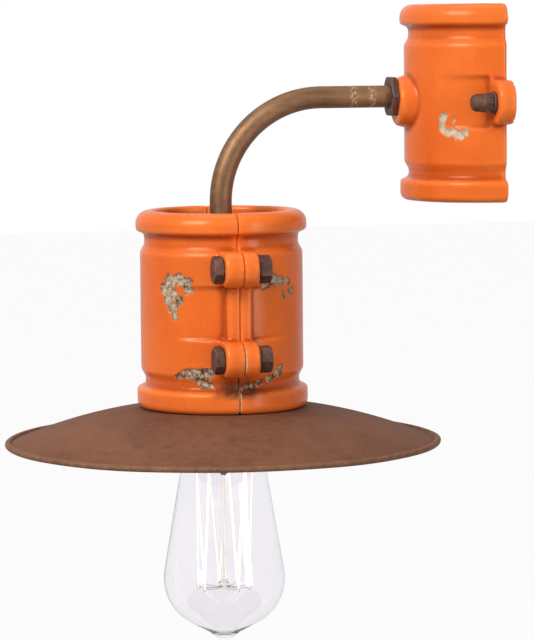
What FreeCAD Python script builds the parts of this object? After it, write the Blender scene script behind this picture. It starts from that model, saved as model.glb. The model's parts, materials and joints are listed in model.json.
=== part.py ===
import FreeCAD, Part
import Sketcher
import math
import os
import re

# Industrial pipe wall light: a half pipe coupling of glazed fired clay on the wall, a bent brass
# arm, and a whole coupling of two bolted halves over the lampholder, shade and bulb.
# Millimetres. The wall is the plane y = 0, the room lies towards -Y and +Z is up. The origin is
# on the wall behind the middle of the wall coupling. The arm and the lamp lie in the plane x = 0.

# The driving sizes: name, value, what it is.
SIZES = [
    # the section that both couplings share
    ("coupling_height", 103.5, "height of a coupling"),
    ("bore_radius", 34.8, "inner radius"),
    ("neck_wall", 5.5, "wall at the two necks"),
    ("shell_rise", 2.3, "middle of the coupling above its necks"),
    ("bead_rise", 4.5, "end beads above the necks"),
    ("top_bead_height", 10.6, "height of the upper bead"),
    ("low_bead_height", 11.0, "height of the lower bead"),
    ("top_neck_height", 7.2, "height of the upper neck"),
    ("low_neck_height", 5.8, "height of the lower neck"),
    ("shoulder_height", 3.6, "height of the slope from neck to middle"),
    ("lip_slope", 1.5, "drop of each bead's underside"),
    ("bead_round", 6.8, "rounding of the upper bead's outer edge"),
    ("foot_round", 4.0, "rounding of the lower bead's outer edge"),
    ("lip_round", 1.7, "rounding of each bead next to its neck"),
    ("soft_round", 2.0, "other roundings of the section"),
    ("feature_rise", 0.6, "ears and panels above the coupling's middle"),
    ("panel_depth", 1.7, "depth of the sunk panels at the split"),
    ("panel_reach", 34.0, "where the sunk panels fade out, from the split"),
    # ears and bolts of the lamp's clamp
    ("ear_radius", 9.3, "half height of a clamp ear"),
    ("ear_margin", 9.5, "tip of a clamp ear beyond its bolt"),
    ("ear_thickness", 8.2, "thickness of the rear half's ears"),
    ("front_ear_thickness", 9.8, "thickness of the front half's ears"),
    ("ear_edge", 1.8, "rounding of an ear's outer edge"),
    ("rib_rise", 4.0, "crest of the ribs along the split above the middle"),
    ("rib_thickness", 6.6, "thickness of each rib"),
    ("rib_round", 2.4, "rounding of a rib's crest"),
    ("seam_gap", 0.3, "gap between the two halves"),
    ("bolt_spacing", 46.0, "between the upper and lower bolts"),
    ("bolt_margin", 7.4, "bolt axes outside the coupling's middle"),
    ("bolt_radius", 4.0, "M8 shank"),
    ("bolt_flats", 13.0, "M8 head and nut across flats"),
    ("bolt_head", 5.3, "M8 head height"),
    ("bolt_nut", 6.8, "M8 nut height"),
    ("bolt_play", 0.4, "radial play of bolts and studs in fired clay"),
    # wall coupling, or rose
    ("wall_ear_height", 23.4, "height of a rose ear"),
    ("wall_ear_margin", 10.0, "tip of a rose ear beyond its stud"),
    ("wall_ear_thickness", 9.0, "thickness of a rose ear"),
    ("wall_ear_round", 10.4, "rounding of a rose ear's corners"),
    ("web_thickness", 5.0, "closing webs at the rose's two ends"),
    ("web_recess", 4.0, "webs sunk below the rims"),
    ("boss_radius", 14.0, "arm boss on the rose"),
    ("boss_rise", 6.4, "boss face above the rose's middle"),
    ("pad_radius", 10.5, "flat seat for the washer inside the rose"),
    ("pad_rise", 3.8, "that seat above the inner wall"),
    # bracket behind the rose
    ("strip_thickness", 2.0, "steel of the wall bracket"),
    ("strip_height", 18.0, "height of the bracket strip"),
    ("strip_end", 6.0, "strip beyond each stud"),
    ("tongue_width", 26.0, "tongue that carries the terminal block"),
    ("tongue_drop", 17.0, "tongue below the strip"),
    ("slot_spacing", 54.0, "between the middles of the wall-screw slots"),
    ("slot_length", 12.0, "wall-screw slots end to end"),
    ("slot_width", 4.6, "wall-screw slots across"),
    ("channel_play", 0.3, "play of the strip in the rose's channel"),
    ("stud_margin", 7.4, "stud axes outside the rose's middle"),
    ("stud_radius", 3.0, "M6 stud"),
    ("washer_radius", 5.9, "washer under a cap nut"),
    ("washer_thickness", 1.6, "thickness of the flat washers"),
    ("cap_nut_flats", 10.0, "M6 cap nut across flats"),
    ("cap_nut_hex", 5.0, "height of its hexagon"),
    ("cap_nut_height", 11.6, "its whole height"),
    ("screw_radius", 1.5, "shank of the small screws"),
    # terminal block
    ("block_width", 25.2, "terminal block, three poles wide"),
    ("block_depth", 13.0, "terminal block from the bracket"),
    ("block_height", 16.0, "terminal block along the wires"),
    ("block_drop", 9.6, "top of the block below the strip's middle"),
    # arm
    ("arm_rise", 3.4, "arm axis above the origin"),
    ("lamp_reach", 143.2, "lamp axis from the wall"),
    ("bend_radius", 54.0, "bend of the arm"),
    ("tube_radius", 5.8, "arm tube outside"),
    ("tube_bore", 4.2, "arm tube inside"),
    ("thread_radius", 5.0, "M10 x 1 thread"),
    ("nipple_bore", 3.6, "bore of the threaded nipples"),
    ("thread_grip", 12.0, "thread engaged in the tube"),
    ("fit_gap", 0.05, "radial gap of threads and close fits"),
    ("lock_nut_flats", 20.4, "arm lock nut across flats"),
    ("lock_nut_height", 3.8, "arm lock nut"),
    ("lock_nut_recess", 1.4, "depth that the tube enters the lock nut"),
    ("thin_nut_flats", 14.0, "M10 nuts inside"),
    ("thin_nut_height", 3.6, "M10 nuts inside"),
    ("plate_grip", 1.6, "hanger plate in the clamp's groove"),
    ("plate_thickness", 2.0, "hanger plate"),
    ("plate_play", 0.2, "play of the plate in the clamp's groove"),
    ("clamp_drop", 54.1, "clamp's upper rim below the origin"),
    # lampholder, measured from the clamp's lower rim
    ("holder_height", 40.0, "fired-clay body above the clamp's lower rim"),
    ("holder_radius", 21.0, "fired-clay body"),
    ("holder_flange", 26.0, "flange that rests on the shade"),
    ("flange_height", 3.0, "that flange"),
    ("skirt_radius", 20.0, "threaded skirt through the shade"),
    ("skirt_drop", 10.4, "skirt below the clamp's lower rim"),
    ("skirt_bore", 17.5, "mouth of the skirt"),
    ("web_level", 22.2, "underside of the holder's inner web"),
    ("holder_web", 5.8, "thickness of that web"),
    ("well_radius", 17.0, "terminal well above the web"),
    ("cap_height", 24.0, "metal cap above the body"),
    ("cap_skirt", 6.0, "overlap of the cap on the body"),
    ("cap_wall", 1.4, "metal of the cap"),
    ("collar_radius", 8.0, "collar on top of the cap"),
    ("collar_height", 7.0, "that collar"),
    ("socket_radius", 13.5, "inside of the threaded shell"),
    ("sheet_metal", 0.5, "brass of the shell and the bulb's cap"),
    ("socket_mouth", 3.5, "shell's mouth below the clamp's lower rim"),
    ("ring_radius", 28.0, "ring that clamps the shade"),
    ("ring_height", 7.0, "that ring"),
    ("contact_radius", 4.0, "head of the centre contact"),
    ("contact_head", 1.2, "its thickness"),
    ("contact_stem", 3.15, "its stem"),
    ("contact_length", 7.0, "length of the stem"),
    ("contact_gap", 0.3, "between the centre contact and the bulb"),
    ("contact_travel", 1.0, "travel of the centre contact"),
    ("guide_wall", 1.3, "tube that guides the centre contact"),
    ("spring_wire", 0.25, "radius of the contact spring's wire"),
    ("spring_radius", 2.3, "radius of the spring's coils at the wire's middle"),
    ("terminal_inner", 8.5, "terminals from the holder's axis"),
    ("terminal_outer", 15.0, "their outer ends"),
    ("terminal_width", 7.0, "terminals across"),
    ("terminal_height", 5.0, "terminals above the web"),
    # shade, measured from the clamp's lower rim
    ("shade_radius", 114.5, "shade's rim"),
    ("shade_drop", 18.4, "middle of the rolled rim below the seat"),
    ("shade_seat", 44.0, "flat middle of the shade"),
    ("knee_share", 0.498, "where its two slopes would meet, as a share of the way from the seat to the rim"),
    ("fall_share", 0.277, "the share of its drop that it has there"),
    ("curve_share", 0.86, "the share of the inner slope that the curve between the two takes up"),
    ("shade_sheet", 1.0, "sheet of the shade"),
    ("shade_bead", 3.2, "thickness of the rolled rim"),
    ("shade_play", 0.4, "shade's hole around the skirt"),
    # bulb, measured up from the tip of its glass
    ("tip_level", 18.6, "the bulb's contact tip above the clamp's lower rim"),
    ("bulb_length", 141.8, "whole bulb"),
    ("bulb_radius", 32.0, "widest part of the glass"),
    ("bulb_belly", 31.9, "height of the widest part"),
    ("belly_round", 26.0, "curve of the belly"),
    ("cone_angle", 9.6, "taper of the glass above the belly, degrees"),
    ("base_angle", 29.0, "slope of the glass below the belly, degrees"),
    ("shoulder_drop", 6.3, "where the taper turns in, below the bulb's cap"),
    ("shoulder_round", 8.0, "rounding of that turn"),
    ("nub_radius", 8.3, "pip at the bottom of the glass"),
    ("nub_floor", 3.2, "glass under the bulb's hollow"),
    ("glass_wall", 0.7, "glass"),
    ("cap_length", 27.0, "bulb's cap with its contact"),
    ("cap_radius", 13.1, "crest of the bulb's thread"),
    ("thread_depth", 1.0, "depth of that thread"),
    ("thread_pitch", 3.62, "pitch of that thread"),
    ("tip_radius", 4.8, "bulb's tip contact"),
    ("tip_height", 1.2, "that contact"),
    ("vitrite_height", 3.6, "glass insulator between the cap and the tip"),
    ("stem_radius", 4.4, "glass mount of the filament"),
    ("rod_radius", 1.3, "glass rod down the middle"),
    ("hook_drop", 23.8, "upper hooks below the bulb's cap"),
    ("lower_hooks", 27.3, "level of the lower hooks"),
    ("upper_cage", 15.0, "radius of the filament at the upper hooks"),
    ("lower_cage", 13.8, "radius of the filament at the lower hooks"),
    ("filament_radius", 0.3, "filament wire"),
    ("hook_radius", 0.3, "hook wire"),
    # wires
    ("wire_radius", 1.0, "insulated wire"),
    ("wire_spread", 1.45, "wires from the middle of the arm"),
    ("wire_bend", 5.0, "bend of a wire inside the rose"),
]
# Sizes that follow from those above: name, formula, what it is.
FOLLOWING = [
    ("neck_radius", "bore_radius + neck_wall", "outer radius of the two necks"),
    ("shell_radius", "neck_radius + shell_rise", "outer radius of the middle"),
    ("bead_radius", "neck_radius + bead_rise", "outer radius of the end beads"),
    ("rib_radius", "shell_radius + rib_rise", "crest of the ribs"),
    ("bolt_reach", "shell_radius + bolt_margin", "bolt axes from the lamp axis"),
    ("ear_reach", "bolt_reach + ear_margin", "tip of a clamp ear from the axis"),
    ("stud_reach", "shell_radius + stud_margin", "stud axes from the rose's middle"),
    ("wall_ear_reach", "stud_reach + wall_ear_margin", "tip of a rose ear from the middle"),
    ("boss_reach", "shell_radius + boss_rise", "boss face from the wall"),
    ("pad_reach", "bore_radius - pad_rise", "washer seat from the wall"),
    ("plate_radius", "bore_radius + plate_grip", "hanger plate"),
    ("bulb_drop", "bulb_length - tip_level", "bulb's lowest point below the clamp's lower rim"),
    ("shoulder_level", "bulb_length - cap_length - shoulder_drop", "where the taper turns in to the cap"),
    ("upper_hooks", "bulb_length - cap_length - hook_drop", "level of the upper hooks"),
]
NAMES = {name for name, entry, note in SIZES + FOLLOWING}

# The lamp's parts are measured from the clamp's lower rim; the rose stands about the origin.
SEAT = "(-clamp_drop - coupling_height)"
CLAMP_MIDDLE = "(feature_rise - clamp_drop - coupling_height / 2)"
ROSE_FOOT = "(-coupling_height / 2)"
PLATE = "(holder_height + cap_height)"
TUBE_START = "(boss_reach + lock_nut_height - lock_nut_recess)"
TUBE_END = "(holder_height + cap_height + plate_thickness + thin_nut_height + 0.5)"
EAR_ROOT = "((bore_radius + neck_radius) / 2)"
WELL_FLOOR = "(web_level + holder_web)"
BULB_FOOT = "(-clamp_drop - coupling_height - bulb_drop)"
CAP_RIM = "(bulb_length - cap_length)"
CAP_TOP = "(bulb_length - tip_height - vitrite_height)"
CONTACT_FACE = "(tip_level + contact_gap)"

UP = FreeCAD.Rotation()
DOWN = FreeCAD.Rotation(FreeCAD.Vector(1, 0, 0), 180)
TO_ROOM = FreeCAD.Rotation(FreeCAD.Vector(1, 0, 0), 90)
TO_WALL = FreeCAD.Rotation(FreeCAD.Vector(1, 0, 0), -90)
TO_RIGHT = FreeCAD.Rotation(FreeCAD.Vector(0, 1, 0), 90)
TO_LEFT = FreeCAD.Rotation(FreeCAD.Vector(0, 1, 0), -90)
# An ear drawn for the room side at +X is turned to the other three places.
EAR_TURNS = {
    ("room", "right"): UP,
    ("room", "left"): FreeCAD.Rotation(FreeCAD.Vector(0, 1, 0), 180),
    ("wall", "right"): DOWN,
    ("wall", "left"): FreeCAD.Rotation(FreeCAD.Vector(0, 0, 1), 180),
}
SIDES = {"right": "", "left": "-"}
# How far each hexagon stands turned about its own bolt, in degrees.
HEAD_TURNS = (14, 9, 21, 4)
NUT_TURNS = (24, 12, 5, 17)
# Where the three wires lie in the arm, and the pole of the block that each starts from.
WIRES = {"live_wire": (210, -1), "neutral_wire": (330, 1), "earth_wire": (90, 0)}
POLE_PITCH = "(block_width / 3)"
HOOKS = 9

doc = FreeCAD.newDocument("pipe_wall_light")
sheet = doc.addObject("Spreadsheet::Sheet", "sizes")
for row, (name, entry, note) in enumerate(SIZES + FOLLOWING, 1):
    sheet.set("A%d" % row, note)
    sheet.set("B%d" % row, "=" + entry if isinstance(entry, str) else str(entry))
    sheet.setAlias("B%d" % row, name)
doc.recompute()
nodes = []


# Helpers -------------------------------------------------------------------------------------

def value(expression):
    """The number that an expression in the sizes has now."""
    return float(sheet.evalExpression(expression))


def bind(item, path, expression):
    """Tie a property to an expression in the sizes."""
    tied = re.sub("[a-z_]+", lambda word: ("sizes." if word.group() in NAMES else "") + word.group(), expression)
    item.setExpression(path, tied)


def put(item, x="0", y="0", z="0", turn=UP):
    """Place an object; the offsets are expressions in the sizes."""
    item.Placement = FreeCAD.Placement(FreeCAD.Vector(), turn)
    for axis, expression in zip("xyz", (x, y, z)):
        if expression != "0":
            bind(item, "Placement.Base." + axis, expression)
    return item


def at_lamp(item, height, x="0", y="0", turn=UP):
    """Place an object on the lamp axis, at a height above the clamp's lower rim."""
    return put(item, x, "%s - lamp_reach" % y, "%s + %s" % (height, SEAT), turn)


def node(item):
    """Keep an object as one sub-part, written under its own label."""
    nodes.append(item)
    return item


def outline(sketch, corners, closed=True):
    """Draw a line through corners (x, y) or (x, y, rounding), each an expression in the sizes."""
    count = len(corners)
    spots = [FreeCAD.Vector(value(corner[0]), value(corner[1]), 0) for corner in corners]
    lines = []
    rules = []
    drivers = []

    def drive(kind, *rule, expression):
        drivers.append((len(rules), expression))
        rules.append(Sketcher.Constraint(kind, *rule, value(expression)))

    def fix(element, end, corner):
        for kind, axis, expression in (("DistanceX", -2, corner[0]), ("DistanceY", -1, corner[1])):
            if expression == "0":
                rules.append(Sketcher.Constraint("PointOnObject", element, end, axis))
            else:
                drive(kind, -1, 1, element, end, expression=expression)

    def tangents(index):
        before = (spots[index - 1] - spots[index]).normalize()
        after = (spots[(index + 1) % count] - spots[index]).normalize()
        radius = value(corners[index][2])
        half = before.getAngle(after) / 2
        reach = radius / math.tan(half)
        centre = spots[index] + (before + after).normalize() * (radius / math.sin(half))
        return spots[index] + before * reach, spots[index] + after * reach, centre, radius

    rounds = {index: tangents(index) for index, corner in enumerate(corners) if len(corner) > 2}
    for index in range(count if closed else count - 1):
        following = (index + 1) % count
        start = rounds[index][1] if index in rounds else spots[index]
        stop = rounds[following][0] if following in rounds else spots[following]
        lines.append(sketch.addGeometry(Part.LineSegment(start, stop)))
    if not closed:
        fix(lines[-1], 2, corners[-1])
    for index, corner in enumerate(corners[:len(lines)]):
        outgoing = lines[index]
        if index not in rounds:
            fix(outgoing, 1, corner)
            if closed or index:
                rules.append(Sketcher.Constraint("Coincident", lines[index - 1], 2, outgoing, 1))
            continue
        incoming = lines[index - 1]
        enters, leaves, centre, radius = rounds[index]
        left_turn = (spots[index] - enters).cross(leaves - spots[index]).z > 0
        first, last = (enters, leaves) if left_turn else (leaves, enters)
        angles = [math.atan2(spot.y - centre.y, spot.x - centre.x) for spot in (first, last)]
        circle = Part.Circle(centre, FreeCAD.Vector(0, 0, 1), radius)
        arc = sketch.addGeometry(Part.ArcOfCircle(circle, *angles))
        apex = sketch.addGeometry(Part.Point(spots[index]), True)
        fix(apex, 1, corner)
        rules.append(Sketcher.Constraint("PointOnObject", apex, 1, incoming))
        rules.append(Sketcher.Constraint("PointOnObject", apex, 1, outgoing))
        enter_end, leave_end = (1, 2) if left_turn else (2, 1)
        rules.append(Sketcher.Constraint("Tangent", incoming, 2, arc, enter_end))
        rules.append(Sketcher.Constraint("Tangent", arc, leave_end, outgoing, 1))
        drive("Radius", arc, expression=corner[2])
    offset = sketch.ConstraintCount
    sketch.addConstraint(rules)
    for index, expression in drivers:
        bind(sketch, "Constraints[%d]" % (offset + index), expression)


def sketch_in(body, role, name):
    """An empty sketch on one of a body's own origin planes."""
    sketch = body.newObject("Sketcher::SketchObject", name)
    plane = next(item for item in body.Origin.OriginFeatures if item.Role == role)
    sketch.AttachmentSupport = [(plane, "")]
    sketch.MapMode = "FlatFace"
    return sketch


def turned(name, corners, sweep=360, towards_room=False):
    """A turned piece: its half section in x and z goes round the z axis."""
    body = doc.addObject("PartDesign::Body", name)
    sketch = sketch_in(body, "XZ_Plane", name + "_half_section")
    outline(sketch, corners)
    turn = body.newObject("PartDesign::Revolution", name + "_turn")
    turn.Profile = (sketch, [""])
    turn.ReferenceAxis = (sketch, ["V_Axis"])
    turn.Angle = sweep
    turn.Reversed = towards_room
    return body


def raised(name, role, corners, length, both_ways=False):
    """A padded piece: an outline in one origin plane, thickened along the plane's normal."""
    body = doc.addObject("PartDesign::Body", name)
    sketch = sketch_in(body, role, name + "_outline")
    outline(sketch, corners)
    pad = body.newObject("PartDesign::Pad", name + "_pad")
    pad.Profile = (sketch, [""])
    pad.Midplane = both_ways
    bind(pad, "Length", length)
    return body


def cylinder(name, radius, height):
    item = doc.addObject("Part::Cylinder", name)
    bind(item, "Radius", radius)
    bind(item, "Height", height)
    return item


def box(name, length, width, height):
    item = doc.addObject("Part::Box", name)
    bind(item, "Length", length)
    bind(item, "Width", width)
    bind(item, "Height", height)
    return item


def fused(name, *shapes):
    item = doc.addObject("Part::MultiFuse", name)
    item.Shapes = list(shapes)
    return item


def cut(name, base, *tools):
    item = doc.addObject("Part::Cut", name)
    item.Base = base
    item.Tool = tools[0] if len(tools) == 1 else fused(name + "_tools", *tools)
    return item


def group(name, *shapes):
    item = doc.addObject("Part::Compound", name)
    item.Links = list(shapes)
    return item


def washer(name, radius, bore, height):
    return turned(name, [(bore, "0"), (radius, "0"), (radius, height), (bore, height)])


def hexagon(name, flats, height, bevel="0.9"):
    """A hexagonal piece along z whose two ends are bevelled by a cone."""
    corner = "(%s / sqrt(3))" % flats
    prism = doc.addObject("Part::Prism", name + "_prism")
    prism.Polygon = 6
    bind(prism, "Circumradius", corner)
    bind(prism, "Height", height)
    envelope = turned(name + "_envelope", [
        ("0", "0"), ("%s / 2" % flats, "0"), (corner, bevel), (corner, "%s - %s" % (height, bevel)),
        ("%s / 2" % flats, height), ("0", height)])
    item = doc.addObject("Part::MultiCommon", name + "_hexagon")
    item.Shapes = [prism, envelope]
    return item


def rounded_route(spots, radii):
    """Straight runs through the spots, joined by tangent arcs of the given radii."""
    edges = []
    start = spots[0]
    for index, radius in enumerate(radii, 1):
        before = (spots[index - 1] - spots[index]).normalize()
        after = (spots[index + 1] - spots[index]).normalize()
        half = before.getAngle(after) / 2
        enters = spots[index] + before * (radius / math.tan(half))
        leaves = spots[index] + after * (radius / math.tan(half))
        inward = (before + after).normalize()
        middle = spots[index] + inward * (radius / math.sin(half) - radius)
        edges.append(Part.LineSegment(start, enters).toShape())
        edges.append(Part.Arc(enters, middle, leaves).toShape())
        start = leaves
    edges.append(Part.LineSegment(start, spots[-1]).toShape())
    return Part.Wire(edges)


def piped(route, radius, frenet=False):
    """A round wire along a route."""
    start = route.Edges[0].Vertexes[0].Point
    heading = route.Edges[0].tangentAt(route.Edges[0].FirstParameter)
    section = Part.Wire([Part.Circle(start, heading, radius).toShape()])
    return route.makePipeShell([section], True, frenet)


def plain_feature(name, shape):
    """A piece whose shape is made in this file from the sizes."""
    item = doc.addObject("Part::Feature", name)
    item.Shape = shape
    return item


# The couplings -------------------------------------------------------------------------------

def coupling_section(name, towards_room):
    """Half a coupling: beads at both ends, necks beside them and a plain middle."""
    low_neck = "(low_bead_height + low_neck_height)"
    top_neck = "(coupling_height - top_bead_height - top_neck_height)"
    top_bead = "(coupling_height - top_bead_height)"
    return turned(name, [
        ("bore_radius", "0", "soft_round"),
        ("bead_radius", "0", "foot_round"),
        ("bead_radius", "low_bead_height", "lip_round"),
        ("neck_radius", "low_bead_height + lip_slope", "soft_round"),
        ("neck_radius", low_neck, "soft_round"),
        ("shell_radius", low_neck + " + shoulder_height", "soft_round"),
        ("shell_radius", top_neck + " - shoulder_height", "soft_round"),
        ("neck_radius", top_neck, "soft_round"),
        ("neck_radius", top_bead + " - lip_slope", "soft_round"),
        ("bead_radius", top_bead, "lip_round"),
        ("bead_radius", "coupling_height", "bead_round"),
        ("bore_radius", "coupling_height", "soft_round"),
    ], 180, towards_room)


def ear(name, reach, half_height, rounding, thickness, turn):
    """A lug from inside the coupling's wall out to its tip, its outer face rounded off."""
    body = raised(name, "XZ_Plane", [
        (EAR_ROOT, "-" + half_height), (reach, "-" + half_height, rounding),
        (reach, half_height, rounding), (EAR_ROOT, half_height)], thickness)
    doc.recompute()
    pad = body.Tip
    root = value(EAR_ROOT)
    face = -value(thickness)
    rim = ["Edge%d" % number for number, edge in enumerate(pad.Shape.Edges, 1)
           if abs(edge.BoundBox.YMin - face) < 0.01 and abs(edge.BoundBox.YMax - face) < 0.01
           and edge.BoundBox.XMax > root + 0.1]
    fillet = body.newObject("PartDesign::Fillet", name + "_rounding")
    fillet.Base = (pad, rim)
    bind(fillet, "Radius", "ear_edge")
    body.Placement = FreeCAD.Placement(FreeCAD.Vector(), turn)
    return body


def rib(name, turn):
    """The raised edge of a clamp half between its upper and lower ears."""
    body = raised(name, "XY_Plane", [
        (EAR_ROOT, "0"), (EAR_ROOT, "-rib_thickness"),
        ("rib_radius", "-rib_thickness", "rib_round"), ("rib_radius", "0")], "bolt_spacing", True)
    body.Placement = FreeCAD.Placement(FreeCAD.Vector(), turn)
    return body


def panels(name, near, side):
    """What is cut away for the sunk panels beside the ears of one half, which fade out away from them."""
    across = "(shell_radius + 5)"
    height = "(bolt_spacing - 2 * ear_radius)"
    fading = "(1 - sqrt(1 - (panel_reach / shell_radius)^2))"
    shift = "((shell_radius - panel_depth / 2) * panel_depth / (shell_radius * %s - panel_depth))" % fading
    sides = []
    for hand, sign in SIDES.items():
        place = "%s_%s" % (name, hand)
        slab = box(place + "_slab", across, "panel_reach + 1 - " + near, height)
        put(slab, "0" if hand == "right" else "-" + across,
            "-panel_reach - 1" if side == "room" else near, "-%s / 2" % height)
        core = cylinder(place + "_core", "shell_radius - panel_depth + " + shift, height)
        put(core, ("-" if hand == "right" else "") + shift, "0", "-%s / 2" % height)
        sides.append(cut(place, slab, core))
    return fused(name, *sides)


def clamp_half(name, side):
    """One half of the coupling over the lampholder."""
    section = put(coupling_section(name + "_section", side == "room"),
                  z="-coupling_height / 2 - feature_rise")
    thickness = "front_ear_thickness" if side == "room" else "ear_thickness"
    lugs = []
    holes = []
    for hand, sign in SIDES.items():
        turn = EAR_TURNS[side, hand]
        lugs.append(rib("%s_%s_rib" % (name, hand), turn))
        for level, shift in (("upper", "bolt_spacing / 2"), ("lower", "-bolt_spacing / 2")):
            place = "%s_%s_%s" % (name, level, hand)
            lug = ear(place + "_ear", "ear_reach", "ear_radius", "(ear_radius - 0.5)", thickness, turn)
            bind(lug, "Placement.Base.z", shift)
            lugs.append(lug)
            hole = cylinder(place + "_hole", "bolt_radius + bolt_play", "front_ear_thickness + ear_thickness + 4")
            holes.append(put(hole, sign + "bolt_reach", "ear_thickness + 2", shift, TO_ROOM))
    groove = cylinder(name + "_groove", "plate_radius + 2 * plate_play", "plate_thickness + 2 * plate_play")
    put(groove, z=PLATE + " - plate_play - coupling_height / 2 - feature_rise")
    seam = box(name + "_seam", "2 * ear_reach + 4", "seam_gap", "coupling_height + 10")
    put(seam, "-ear_reach - 2", "-seam_gap / 2", "-coupling_height / 2 - 5")
    half = cut(name, fused(name + "_blank", section, *lugs), groove, seam,
               panels(name + "_panels", "rib_thickness", side), *holes)
    return node(put(half, "0", "-lamp_reach", CLAMP_MIDDLE))


def clamp_fasteners():
    """Four bolts with their heads on the room side, and their nuts on the wall side."""
    places = [(sign, shift) for shift in ("bolt_spacing / 2", "-bolt_spacing / 2") for sign in SIDES.values()]
    for number, (sign, shift) in enumerate(places, 1):
        name = "clamp_bolt_%d" % number
        head = put(hexagon(name + "_head", "bolt_flats", "bolt_head"), z="-bolt_head")
        head.Placement.Rotation = FreeCAD.Rotation(FreeCAD.Vector(0, 0, 1), HEAD_TURNS[number - 1])
        shank = cylinder(name + "_shank", "bolt_radius", "front_ear_thickness + ear_thickness + bolt_nut - 0.4")
        bolt = node(fused(name, head, shank))
        put(bolt, sign + "bolt_reach", "-lamp_reach - front_ear_thickness", CLAMP_MIDDLE + " + " + shift, TO_WALL)
        name = "clamp_nut_%d" % number
        blank = hexagon(name + "_blank", "bolt_flats", "bolt_nut")
        blank.Placement.Rotation = FreeCAD.Rotation(FreeCAD.Vector(0, 0, 1), NUT_TURNS[number - 1])
        nut = node(cut(name, blank, cylinder(name + "_bore", "bolt_radius + fit_gap", "bolt_nut")))
        put(nut, sign + "bolt_reach", "ear_thickness - lamp_reach", CLAMP_MIDDLE + " + " + shift, TO_WALL)


def wall_rose():
    """The half coupling on the wall: closed ends, an arm boss, two ears and a strip channel."""
    section = put(coupling_section("rose_section", True), z=ROSE_FOOT)
    adds = [section]
    cuts = []
    for place, level in (("lower", "web_recess"), ("upper", "coupling_height - web_recess - web_thickness")):
        web = cylinder("rose_%s_web" % place, "bore_radius + 1", "web_thickness")
        web.Angle = 180
        put(web, z=ROSE_FOOT + " + " + level)
        web.Placement.Rotation = EAR_TURNS["wall", "left"]
        adds.append(web)
    root = "((bore_radius + neck_radius) / 2 - 1.5)"
    boss = turned("rose_boss", [
        ("0", root), ("boss_radius + 2.5", root), ("boss_radius - 0.4", "shell_radius + 2", "6"),
        ("boss_radius - 1.6", "boss_reach", "soft_round"), ("0", "boss_reach")])
    adds.append(put(boss, z="feature_rise", turn=TO_ROOM))
    pad = cylinder("rose_washer_seat", "pad_radius", root + " + 1 - pad_reach")
    adds.append(put(pad, y="-pad_reach", z="arm_rise", turn=TO_ROOM))
    for hand, sign in SIDES.items():
        lug = ear("rose_%s_ear" % hand, "wall_ear_reach", "(wall_ear_height / 2)", "wall_ear_round",
                  "wall_ear_thickness", EAR_TURNS["room", hand])
        bind(lug, "Placement.Base.z", "feature_rise")
        adds.append(lug)
        hole = cylinder("rose_%s_hole" % hand, "stud_radius + bolt_play", "wall_ear_thickness + 4")
        cuts.append(put(hole, sign + "stud_reach", "2", "feature_rise", TO_ROOM))
    bore = cylinder("rose_nipple_hole", "thread_radius + 2 * channel_play", "boss_reach")
    cuts.append(put(bore, y="-pad_reach + 2", z="arm_rise", turn=TO_ROOM))
    channel = box("rose_channel", "2 * (stud_reach + strip_end + channel_play)",
                  "strip_thickness + channel_play + 2", "strip_height + 2 * channel_play")
    cuts.append(put(channel, "-stud_reach - strip_end - channel_play", "-strip_thickness - channel_play",
                    "feature_rise - strip_height / 2 - channel_play"))
    cuts.append(put(panels("rose_panels", "wall_ear_thickness", "room"), z="feature_rise"))
    return node(cut("wall_rose", fused("rose_blank", *adds), *cuts))


# The wall bracket ----------------------------------------------------------------------------

def slot(name, middle):
    """What is cut away for one wall-screw slot along x."""
    half = "(slot_length - slot_width) / 2"
    parts = [put(box(name + "_run", "slot_length - slot_width", "strip_thickness + 2", "slot_width"),
                 "%s - %s" % (middle, half), "-strip_thickness - 1", "-slot_width / 2")]
    for end in ("-", "+"):
        round_end = cylinder(name + ("_start" if end == "-" else "_stop"), "slot_width / 2", "strip_thickness + 2")
        parts.append(put(round_end, "%s %s %s" % (middle, end, half), "1", "0", TO_ROOM))
    return fused(name, *parts)


def wall_bracket():
    """The steel strip behind the rose, with a tongue for the terminal block."""
    strip = box("bracket_strip", "2 * (stud_reach + strip_end)", "strip_thickness", "strip_height")
    put(strip, "-stud_reach - strip_end", "-strip_thickness", "-strip_height / 2")
    tongue = box("bracket_tongue", "tongue_width", "strip_thickness", "tongue_drop + 1")
    put(tongue, "-tongue_width / 2", "-strip_thickness", "-strip_height / 2 - tongue_drop")
    cuts = [slot("left_slot", "-slot_spacing / 2"), slot("right_slot", "slot_spacing / 2")]
    for hand, sign in SIDES.items():
        hole = cylinder("bracket_%s_hole" % hand, "stud_radius + fit_gap", "strip_thickness + 2")
        cuts.append(put(hole, sign + "stud_reach", "1", "0", TO_ROOM))
    earth = cylinder("bracket_earth_hole", "screw_radius + fit_gap", "strip_thickness + 2")
    cuts.append(put(earth, "slot_spacing / 4", "1", "0", TO_ROOM))
    fixing = cylinder("bracket_block_hole", "screw_radius + fit_gap", "strip_thickness + 2")
    cuts.append(put(fixing, POLE_PITCH + " / 2", "1", "-block_drop - block_height / 2", TO_ROOM))
    bracket = cut("wall_bracket", fused("bracket_blank", strip, tongue), *cuts)
    return node(put(bracket, z="feature_rise"))


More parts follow.
